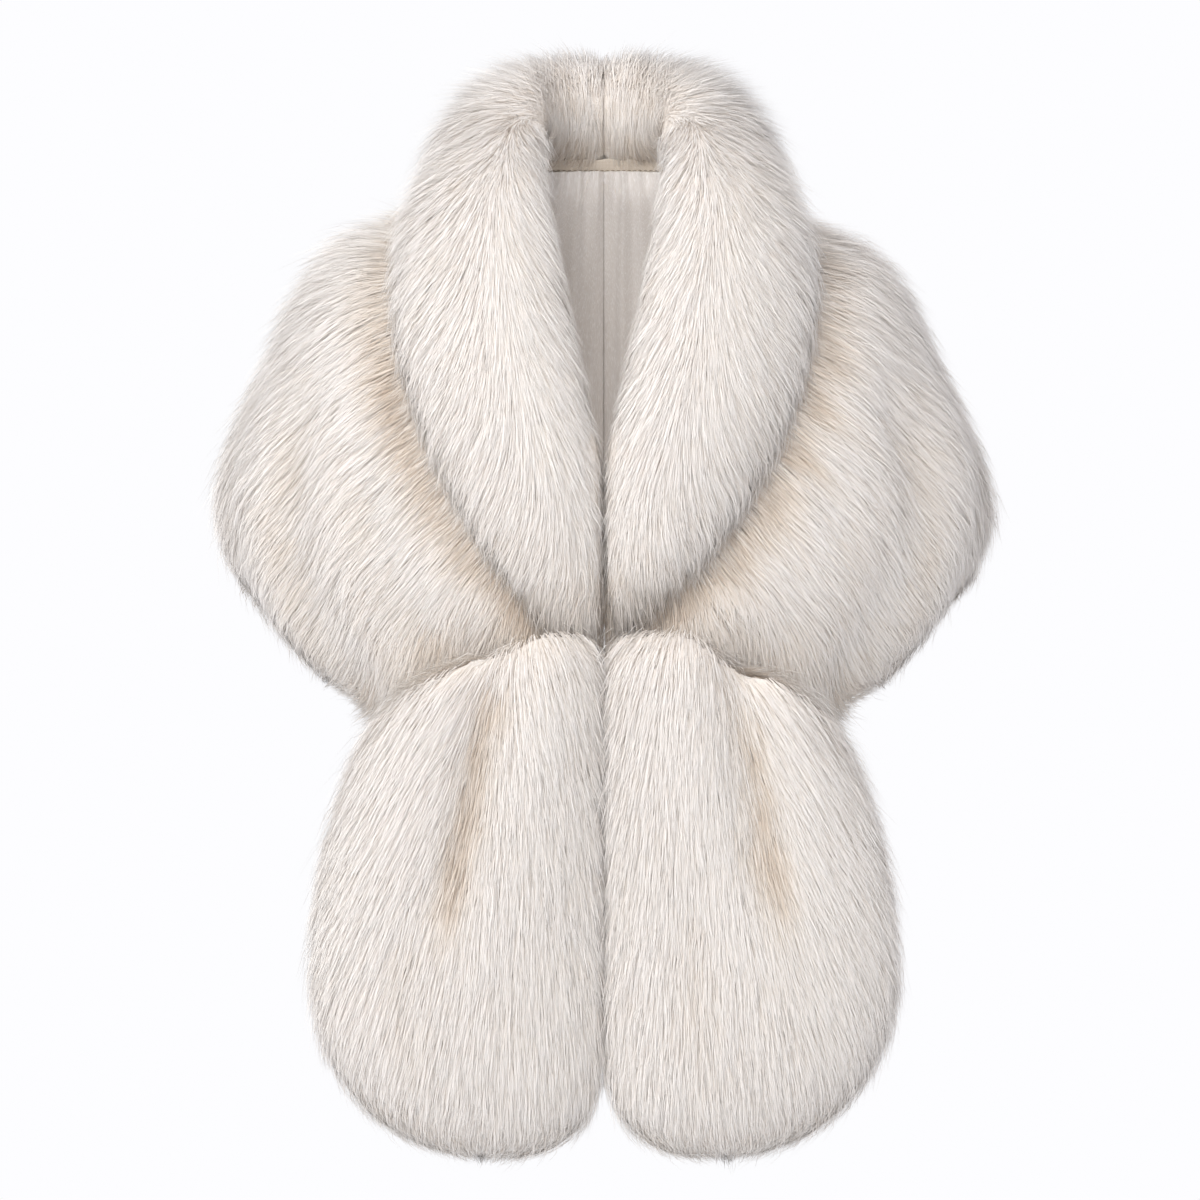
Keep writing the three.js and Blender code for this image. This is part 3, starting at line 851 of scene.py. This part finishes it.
# %% Grow hairs on a form
# The arrays of four hold a share for each point of a hair, from its root to its tip.
RISE = np.array([-0.1, 0.7, 0.95, 1.0])
STANDING = np.array([-0.1, 0.3, 0.65, 1.0])
PULL = np.array([0.0, 0.25, 0.6, 0.85])
SWAY = np.array([0.0, 0.25, 0.62, 1.0])
WAVE = np.array([0.0, 1.0, -0.8, 0.3])
MOST_SPREAD = 2.0
LENGTH_MEAN = 0.8
SHORTEST = 0.45
FLYAWAYS = 0.12
FREE_SWAY = 1.5


def grown(form, amount, rng, style):
    """Hairs as lines of four points, with the way up and the painted shade of each, to which the tuft,
    the lock and the hair add a random tone. Guide lines are blended by the root's shares of its
    triangle, lifted by the depth of the pile, shortened, gathered to the tuft's mean line and swayed
    by the tuft's, the lock's and the hair's own random numbers, more so where they hang freely."""
    corner, share = spread_over(form["place"], form["corner"], amount, rng, form["amount"])
    line = blended(form["path"], corner, share)
    rise = unit(blended(form["rise"], corner, share))
    height = blended(form["inset"], corner, share)
    shade = blended(form["shade"], corner, share)
    root = line[:, 0]
    tuft = tuft_number(root, style["tuft"], 0.3)
    lock = tuft_number(root, style["lock"], 0.7)
    of_tuft = rng.normal(size=(tuft.max() + 1, 5)).clip(-MOST_SPREAD, MOST_SPREAD)[tuft]
    of_lock = rng.normal(size=(lock.max() + 1, 3)).clip(-MOST_SPREAD, MOST_SPREAD)[lock]
    own = rng.normal(size=(amount, 4)).clip(-MOST_SPREAD, MOST_SPREAD)
    loft = blended(form["loft"], corner, share)
    over = (height + loft + style["above"]) / LENGTH_MEAN + style["stray"] * np.abs(own[:, 0])
    stand = blended(form["stand"], corner, share)
    profile = RISE + (STANDING - RISE) * stand[:, None]
    raised = rise * (profile * over[:, None])[..., None]
    line = line + raised
    length = rng.uniform(*style["length"], amount) * (1 + 0.08 * of_tuft[:, 0])
    length = length * blended(form["reach"], corner, share)
    spread = SHORTEST + (1 - SHORTEST) * (1 - stand)
    line = line - (line - root[:, None] - raised) * (1 - spread[:, None, None])
    line = root[:, None] + (line - root[:, None]) * length[:, None, None]
    cling = PULL * (style["cling"] * rng.uniform(0.7, 1.0, amount))[:, None]
    line = line + (tuft_mean(line, tuft) - line) * cling[..., None]
    heading = unit(line[:, 3] - line[:, 0])
    side = unit(np.cross(heading, rise[:, 1]))
    loose = 1 + FREE_SWAY * blended(form["free"], corner, share)
    sway = style["sway"] * (0.35 * of_tuft[:, 1] + 0.6 * of_lock[:, 1] + 0.6 * own[:, 1]) * loose
    lift = style["lift"] * (0.5 * of_tuft[:, 2] + 0.4 * own[:, 2])
    lift = lift + style["flyaway"] * rng.random(amount) * (rng.random(amount) < FLYAWAYS) * loose
    wave = style["wave"] * (of_tuft[:, 3] + 0.5 * own[:, 3])
    line = line + side[:, None] * (SWAY * sway[:, None] + WAVE * wave[:, None])[..., None]
    line = line + rise * (SWAY * lift[:, None])[..., None]
    shade = shade + 0.07 * of_tuft[:, 4] + 0.05 * of_lock[:, 2] + 0.08 * own[:, 2]
    return line, rise, side, np.clip(shade, 0.02, 0.98)


# %% Hairs as flat ribbons
RIBBON_TURN = 0.22
MAP_SPREAD = 0.0015


def ribbon_pattern(rings):
    """Triangles between a ribbon's neighbouring rings, where a ring of no width is one point and any
    other a pair: one triangle where either is a point, and two between pairs."""
    pattern, first = [], 0
    for (_, wide), (_, next_wide) in zip(rings, rings[1:]):
        after = first + (2 if wide else 1)
        if wide and next_wide:
            pattern += [(first, after, after + 1), (first, after + 1, first + 1)]
        elif wide:
            pattern.append((first, after, first + 1))
        else:
            pattern.append((first, after, after + 1))
        first = after
    return np.array(pattern)


def ribbons(hairs, rings, half_wide, rng):
    """Each hair as a flat ribbon. A ring is a place along its line and a share of the width: a pair of
    points half the width to each side, turned about the hair by a random angle, or one point where
    the share is 0. The normals follow the pile's surface and not the ribbon, because light spreads
    between real fibres and evens out their shading. Returns points, triangles, the map's two numbers
    and the normal at each point."""
    line, rise, side, shade = hairs
    amount = len(line)
    angle = rng.normal(0, RIBBON_TURN, amount)[:, None]
    across = side * np.cos(angle) + rise[:, 1] * np.sin(angle)
    across = across * (half_wide * rng.uniform(0.7, 1.3, amount))[:, None]
    points, numbers, normals = [], [], []
    for place, wide in rings:
        low = min(int(place), 2)
        spot = line[:, low] + (line[:, low + 1] - line[:, low]) * (place - low)
        upright = rise[:, low] + (rise[:, low + 1] - rise[:, low]) * (place - low)
        facing = unit(upright * np.cos(angle) - side * np.sin(angle))
        for sign in (1, -1) if wide else (0,):
            points.append(spot + across * wide * sign)
            u = shade + sign * MAP_SPREAD
            numbers.append(np.column_stack([u, np.full(amount, 0.02 + 0.96 * place / 3)]))
            normals.append(facing)
    pattern = ribbon_pattern(rings)
    first = np.arange(amount)[:, None, None] * len(points)
    triangles = (first + pattern).reshape(-1, 3)
    points, numbers, normals = (np.stack(each, 1) for each in (points, numbers, normals))
    return points.reshape(-1, 3), triangles, numbers.reshape(-1, 2), normals.reshape(-1, 3)


# %% The short layer and the long guard hairs
# tuft and lock are how wide each of them is. above and stray are how far hairs stand over the pile's
# depth, and how unevenly. length is the share of its guide that a hair uses, and cling the share of the
# way to its tuft's middle. sway, lift and flyaway are how far a tip goes sideways, up, and up on a hair
# that has come loose. wave is how far a hair bends to and fro.
GROUND = {
    "tuft": 3.5 * MM,
    "lock": 21 * MM,
    "above": 2 * MM,
    "stray": 0.5 * MM,
    "length": (0.55, 0.95),
    "cling": 0.12,
    "sway": 2.4 * MM,
    "lift": 0.4 * MM,
    "flyaway": 0.0,
    "wave": 0.3 * MM,
}
GUARD = {
    "tuft": 5 * MM,
    "lock": 24 * MM,
    "above": 4 * MM,
    "stray": 1.5 * MM,
    "length": (0.6, 1.05),
    "cling": 0.35,
    "sway": 3.4 * MM,
    "lift": 0.6 * MM,
    "flyaway": 9 * MM,
    "wave": 0.7 * MM,
}
GROUND_RINGS = [(0.8, 1.0), (3, 0)]
GUARD_RINGS = [(0, 0), (1.5, 1.0), (3, 0)]
GROUND_HALF = 0.32 * MM
GUARD_HALF = 0.2 * MM
print("triangles a hair:", len(ribbon_pattern(GROUND_RINGS)), "and", len(ribbon_pattern(GUARD_RINGS)))

# %% Hairs, cuts and shades of each piece
# HAIRS gives how many each piece has of the short layer and of guard hairs. A loft is how much higher
# the pile stands in a place. A shade is painted shade: how beige the fur is painted in a hollow, beside
# other fur, at the waist and at the lapels' tips, where less light reaches; on a ridge it is painted paler.
HAIRS = {
    "back_panel": (62000, 18000),
    "front_panel_left": (52000, 20000),
    "front_panel_right": (52000, 20000),
    "collar_left": (64000, 26000),
    "collar_right": (64000, 26000),
    "end_left": (52000, 21000),
    "end_right": (52000, 21000),
}
SHOWN_SIDE = 0.8
HOLLOW_FULL = 3.0 * MM
SHOULDER_LOFT = (15 * MM, 6 * MM)
COLLAR_LOFT = 19 * MM
NAPE = (-50 * MM, 10 * MM)
COLLAR_SIDE = (85 * MM, 125 * MM)
COLLAR_SIDE_LOFT = 11 * MM
END_LOFT = 5 * MM
INNER_LOFT = -4 * MM
BESIDE_REACH = (4 * MM, 26 * MM)
BESIDE_SHADE = dict.fromkeys(CAPE, 0.26)
BESIDE_SHADE.update(dict.fromkeys(COLLAR, 0.0))
BESIDE_SHADE.update(dict.fromkeys(HANGING, 0.25))
HOLLOW_SHADE = dict.fromkeys(CAPE + COLLAR, 0.35)
HOLLOW_SHADE.update(dict.fromkeys(HANGING, 0.55))
WAIST_SHADE = 0.3
BASE_SHADE = 0.15
NEAR_SHADE = 0.15
NEAR_REACH = (8 * MM, 30 * MM)
STANDS = dict.fromkeys(FUR_NODES, 0.5)
STANDS.update(dict.fromkeys(COLLAR, 0.9))
print(sum(short + guard for short, guard in HAIRS.values()), "hairs")


# %% How high the pile stands
def top_loft(node, form):
    """How much higher the pile stands on faces that look up, where nothing presses it flat. It is
    higher on the wearer's right shoulder, as the photo shows."""
    right, left = SHOULDER_LOFT
    share = ease(-60 * MM, 60 * MM, form["place"][:, 0])
    loft = right + (left - right) * share
    if node in COLLAR:
        out = COLLAR_SIDE_LOFT * ease(*COLLAR_SIDE, np.abs(form["place"][:, 0]))
        loft = np.maximum(COLLAR_LOFT * ease(*NAPE, form["place"][:, 1]), out)
    if node in HANGING:
        loft = END_LOFT
    return loft * ease(0.1, 0.8, form["normal"][:, 2]) + INNER_LOFT * form["inner"]


# %% Grow the pile of each piece
for number, (node, (ground_hairs, guard_hairs)) in enumerate(HAIRS.items()):
    form = forms[node]
    facing = ease(-0.2, 0.5, -form["normal"][:, 1])
    form["amount"] = form["furred"] * (1 + SHOWN_SIDE * facing) + 1e-6
    form["loft"] = top_loft(node, form)
    form["stand"] = (form["loft"] / COLLAR_LOFT).clip(0, 1) * STANDS[node]
    # Painted shade: fur is painted beige in hollows, where other fur lies close ahead or beside, and where
    # hairs hang free at the waist and the lapels' tips; ridges are painted paler.
    near = 1 - ease(*NEAR_REACH, form["cover"])
    beside = 1 - ease(*BESIDE_REACH, form["beside"])
    hollow = np.clip(form["hollow"] / HOLLOW_FULL, -0.3, 1)
    shade = BASE_SHADE + HOLLOW_SHADE[node] * hollow + NEAR_SHADE * near
    shade = shade + BESIDE_SHADE[node] * beside
    form["shade"] = shade + WAIST_SHADE * form["free"]
    rng = np.random.default_rng(200 + number)
    parts = [
        ribbons(grown(form, ground_hairs, rng, GROUND), GROUND_RINGS, GROUND_HALF, rng),
        ribbons(grown(form, guard_hairs, rng, GUARD), GUARD_RINGS, GUARD_HALF, rng),
    ]
    points, numbers, normals = (np.concatenate([part[k] for part in parts]) for k in (0, 2, 3))
    triangles = np.concatenate([parts[0][1], parts[1][1] + len(parts[0][0])])
    hair_mesh = mesh_from(node + "_pile", points, triangles, numbers)
    hair_mesh.polygons.foreach_set("use_smooth", np.ones(len(triangles), bool))
    hair_mesh.normals_split_custom_set_from_vertices(normals.astype(np.float32))
    hair = place_in_scene(bpy.data.objects.new(node + "_pile", hair_mesh))
    hair.data.materials.append(pile)
    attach(hair, "root")

    soft = place_in_scene(bpy.data.objects.new(node + "_underfur", form["mesh"]))
    only_material(soft, underfur)
    smooth_faces(soft)
    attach(soft, "root")
    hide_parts(node)
    print(node, len(triangles), "triangles of pile")

# %% [markdown]
# ## The satin lining
#
# The lining is cut a little wider than the back and gathered into the band, so short pleats run down
# from the stitching and fade, and longer soft folds take over below. It has two halves with a seam down
# the middle, whose edges turn in.
#
# A cloth simulation would gather it too, but the photographed pleats have their own places. So the thin
# CAD shell is subdivided to cells of about 2 mm, and each point moves towards the body by the pleats'
# and folds' heights. Both walls of the shell move alike, so the cloth keeps its thickness.

# %% Subdivide thin shells
SHARP_DOT = 0.5


def fine_shell(node, levels):
    """The node's thin shell with its triangles welded and subdivided. Edges whose two faces' normals
    have a dot product below a half are creased, so that the rim stays in its place. The facets' own
    stored normals go, so that the light follows the new folds."""
    mesh = as_mesh(welded_copy(node))
    stored = mesh.attributes.get("custom_normal")
    if stored:
        mesh.attributes.remove(stored)
    normal = np.empty(len(mesh.polygons) * 3)
    mesh.polygons.foreach_get("normal", normal)
    edge = np.empty(len(mesh.loops), np.int32)
    mesh.loops.foreach_get("edge_index", edge)
    pair = np.repeat(np.arange(len(mesh.polygons)), 3)[np.argsort(edge, kind="stable")]
    pair = normal.reshape(-1, 3)[pair.reshape(-1, 2)]
    sharp = dot(pair[:, 0], pair[:, 1])[:, 0] < SHARP_DOT
    crease = mesh.attributes.new("crease_edge", "FLOAT", "EDGE")
    crease.data.foreach_set("value", sharp.astype(np.float32))
    finer = place_in_scene(bpy.data.objects.new(node + "_fine", mesh))
    subdivision = finer.modifiers.new("finer", "SUBSURF")
    subdivision.levels = subdivision.render_levels = levels
    return as_mesh(finer)


# %% Gather the lining
# Each pleat: its place across the nape, its width and its height, in millimetres.
PLEATS = [
    (-61, 5, 4.0), (-47, 3.5, 4.2), (-35, 4, 6.6), (-21, 3.8, 7.6), (-11, 2.6, 3.2), (-5, 2.6, 4.4),
    (6, 2.6, 3.4), (16.5, 3.4, 7.6), (23, 2.6, 2.6), (29, 3.8, 6.6), (41, 3.4, 5.0), (52, 5, 4.4),
]  # fmt: skip
PLEAT_FADE = 38
PLEAT_SPREAD = 0.0035
# Each long fold: its place at the nape and at the hem, its width and its height, in millimetres.
LONG_FOLDS = [
    (-205, -228, 16, 5.0), (-160, -182, 17, 5.0), (-112, -132, 16, 5.0), (-66, -84, 14, 5.0),
    (-42, -52, 8, 6.5), (-24, -31, 7, 8.0), (-5, -17, 5, 6.0), (18, 11, 6, 8.0), (33, 36, 7, 7.0),
    (60, 78, 15, 5.0), (104, 124, 17, 5.0), (150, 172, 16, 5.0), (198, 222, 16, 5.0),
]  # fmt: skip
FOLD_STARTS = (2, 34)
CUT_LENGTH = 330
SEAM_ROLL = {"deep": 1.4, "wide": 2.0, "pucker": 0.3, "stitch": 6.0}
LINING_FORWARD = 1.6


def lining_height(x, down):
    """How far the lining stands off towards the body, in millimetres: a bell curve across each pleat,
    times a fade downwards; a bell curve across each long fold, times a smooth start; less a groove
    at the seam, which a sine puckers at each stitch."""
    height = np.full_like(x, LINING_FORWARD)
    for place, wide, high in PLEATS:
        centre = place * (1 + PLEAT_SPREAD * down)
        wider = wide * (1 + down / 60)
        height += high * np.exp(-(((x - centre) / wider) ** 2) - (down / PLEAT_FADE) ** 1.5)
    start = ease(*FOLD_STARTS, down)
    for top, foot, wide, high in LONG_FOLDS:
        centre = top + (foot - top) * down / CUT_LENGTH
        height += high * np.exp(-(((x - centre) / wide) ** 2)) * start
    pucker = 1 + SEAM_ROLL["pucker"] * np.sin(2 * np.pi * down / SEAM_ROLL["stitch"])
    groove = np.exp(-((x / SEAM_ROLL["wide"]) ** 2))
    return np.maximum(height - SEAM_ROLL["deep"] * groove * pucker, 0)


# %% Polyester satin
# Its threads are finer than the picture can show, so they are drawn 0.7 mm wide.
THREAD_WIDE = 0.7 * MM
THREAD_LONG = 14 * MM
satin, tree = new_material("polyester_satin")
here = add_node(tree, "ShaderNodeTexCoord").outputs["Object"]
stretched = add_node(
    tree,
    "ShaderNodeMapping",
    {"Scale": (1 / THREAD_WIDE, 1 / THREAD_WIDE, 1 / THREAD_LONG)},
    {"Vector": here},
)
threads = add_node(
    tree, "ShaderNodeTexNoise", {"Scale": 1.0, "Detail": 2.0}, {"Vector": stretched.outputs[0]}
)
tone = add_node(
    tree,
    "ShaderNodeValToRGB",
    links={"Fac": threads.outputs["Fac"]},
    stops=[(0.3, "#f1ebe6"), (0.7, "#fbf8f6")],
)
gloss = add_node(
    tree, "ShaderNodeMapRange", {"To Min": 0.2, "To Max": 0.32}, {"Value": threads.outputs["Fac"]}
)
raised = add_node(
    tree,
    "ShaderNodeBump",
    {"Strength": 0.05, "Distance": 0.05 * MM},
    {"Height": threads.outputs["Fac"]},
)
finished(
    tree,
    tone.outputs[0],
    gloss.outputs[0],
    raised.outputs[0],
    Specular_IOR_Level=1.0,
    Sheen_Weight=0.3,
    Sheen_Roughness=0.3,
    Coat_Weight=0.6,
    Coat_Roughness=0.3,
)

# %% Hang the two halves
for node in ("lining_left", "lining_right"):
    mesh = fine_shell(node, 3)
    place, corner = corners_of(mesh)
    towards = -unit(place * [1, 1, 0])
    height = lining_height(place[:, 0] / MM, np.maximum(-place[:, 2] / MM, 0))
    place = place + towards * (height * MM)[:, None]
    mesh.vertices.foreach_set("co", place.ravel())
    mesh.update()
    half = place_in_scene(bpy.data.objects.new(node + "_satin", mesh))
    only_material(half, satin)
    smooth_faces(half)
    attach(half, "root")
    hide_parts(node)
    area = area_of(place, corner) / 2
    print(node, len(corner), "triangles,", round(area, 4), "square metres of cloth")

# %% [markdown]
# ## The neck band
#
# A narrow cotton tape covers the raw edges at the nape. It is cut on the straight and stitched along its
# foot, so it waves a little between stitches. The tape is the CAD shell, subdivided and waved, and each
# stitch is a small closed bead of thread, set along a curve fitted to the tape's own foot.

# %% Cotton tape
TAPE_THREAD = 1.1 * MM
TAPE_WAVE = {"high": 0.35 * MM, "long": 17 * MM}
tape, tree = new_material("cotton_tape")
here = add_node(tree, "ShaderNodeTexCoord").outputs["Object"]
weft, warp = (
    add_node(
        tree,
        "ShaderNodeTexWave",
        {"bands_direction": way, "Scale": ONE_BAND / TAPE_THREAD, "Distortion": 0.8, "Detail": 1.0},
        {"Vector": here},
    )
    for way in "ZX"
)
weave = add_node(
    tree, "ShaderNodeMath", {"operation": "MULTIPLY"}, {0: weft.outputs[1], 1: warp.outputs[1]}
)
tone = add_node(
    tree,
    "ShaderNodeValToRGB",
    links={"Fac": weave.outputs[0]},
    stops=[(0.0, "#ddd0c0"), (1.0, "#f2eadf")],
)
dull = add_node(
    tree, "ShaderNodeMapRange", {"To Min": 0.9, "To Max": 0.75}, {"Value": weave.outputs[0]}
)
raised = add_node(
    tree, "ShaderNodeBump", {"Strength": 0.6, "Distance": 0.3 * MM}, {"Height": weave.outputs[0]}
)
finished(tree, tone.outputs[0], dull.outputs[0], raised.outputs[0], Specular_IOR_Level=0.2)

# %% Cotton thread, twisted
THREAD_TWIST = 0.5 * MM
thread, tree = new_material("cotton_thread")
here = add_node(tree, "ShaderNodeTexCoord").outputs["Object"]
twist = add_node(
    tree,
    "ShaderNodeTexWave",
    {"bands_direction": "DIAGONAL", "Scale": ONE_BAND / THREAD_TWIST},
    {"Vector": here},
)
tone = add_node(
    tree,
    "ShaderNodeValToRGB",
    links={"Fac": twist.outputs[1]},
    stops=[(0.0, "#8f8071"), (1.0, "#b3a594")],
)
dull = add_node(
    tree, "ShaderNodeMapRange", {"To Min": 0.8, "To Max": 0.6}, {"Value": twist.outputs[1]}
)
finished(tree, tone.outputs[0], dull.outputs[0], Specular_IOR_Level=0.3)

# %% Wave the tape
mesh = fine_shell("neck_band", 2)
place, corner = corners_of(mesh)
foot = place[place[:, 2] < 0]
wave = np.sin(place[:, 0] * 2 * np.pi / TAPE_WAVE["long"]) * TAPE_WAVE["high"]
top_share = ease(0, 8 * MM, place[:, 2] + 2 * MM)
place = place + np.column_stack([0 * wave, -wave * top_share, 1.5 * wave * top_share])
mesh.vertices.foreach_set("co", place.ravel())
mesh.update()
band = place_in_scene(bpy.data.objects.new("neck_band_tape", mesh))
only_material(band, tape)
smooth_faces(band)
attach(band, "root")
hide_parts("neck_band")

print("the tape waves every", TAPE_WAVE["long"] / MM, "mm")

# %% The shape of a stitch
STITCH = {"long": 3.0 * MM, "thick": 0.8 * MM, "pitch": 4.2 * MM, "ends": 56 * MM}
STITCH_SIDES = 6
STITCH_RINGS = 4


def stitch_beads(line):
    """Closed beads along a line of centre points. Round each bead's axis go circles whose radius is
    half the thickness times the sine of the angle from one pole to the other."""
    turn = np.arange(STITCH_SIDES) * 2 * np.pi / STITCH_SIDES
    pole = np.linspace(0, np.pi, STITCH_RINGS + 2)[1:-1]
    ring = np.stack(np.meshgrid(pole, turn, indexing="ij"), -1).reshape(-1, 2)
    half = STITCH["thick"] / 2
    shape = np.column_stack(
        [
            -np.cos(ring[:, 0]) * STITCH["long"] / 2,
            np.sin(ring[:, 0]) * np.cos(ring[:, 1]) * half,
            np.sin(ring[:, 0]) * np.sin(ring[:, 1]) * half,
        ]
    )
    shape = np.concatenate([shape, [[-STITCH["long"] / 2, 0, 0], [STITCH["long"] / 2, 0, 0]]])
    i = np.arange(STITCH_SIDES)
    j = (i + 1) % STITCH_SIDES
    faces = []
    for level in range(STITCH_RINGS - 1):
        low, high = level * STITCH_SIDES, (level + 1) * STITCH_SIDES
        faces.append(np.column_stack([low + i, low + j, high + j]))
        faces.append(np.column_stack([low + i, high + j, high + i]))
    last = (STITCH_RINGS - 1) * STITCH_SIDES
    ends = STITCH_RINGS * STITCH_SIDES
    faces.append(np.column_stack([np.full_like(i, ends), j, i]))
    faces.append(np.column_stack([np.full_like(i, ends + 1), last + i, last + j]))
    faces = np.concatenate(faces)
    along = unit(np.gradient(line, axis=0))
    out = unit(np.cross(along, [0, 0, 1]))
    up = np.cross(out, along)
    points = line[:, None] + np.einsum("kc,sca->ska", shape, np.stack([along, out, up], 1))
    first = np.arange(len(line))[:, None, None] * len(shape)
    return points.reshape(-1, 3), (first + faces).reshape(-1, 3)


# %% Sew along the tape's foot
x = np.arange(-STITCH["ends"], STITCH["ends"], STITCH["pitch"])
front_of_foot = np.polynomial.Polynomial.fit(foot[:, 0], foot[:, 1], 4)
foot_height = np.polynomial.Polynomial.fit(foot[:, 0], foot[:, 2], 4)
line = np.column_stack([x, front_of_foot(x) - 1.1 * MM, foot_height(x)])
points, triangles = stitch_beads(line)
stitches = bpy.data.objects.new("neck_stitches", mesh_from("neck_stitches", points, triangles))
place_in_scene(stitches).data.materials.append(thread)
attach(stitches, "root")
print(len(x), "stitches")

# %% Sizes, and the end
meshes = [thing for thing in bpy.context.scene.objects if thing.type == "MESH"]
added = [thing for thing in meshes if thing.name not in nodes and thing is not floor]
counts = [len(corners_of(thing.data)[1]) for thing in added]
print("most triangles in a piece", max(counts), "and in all", sum(counts))
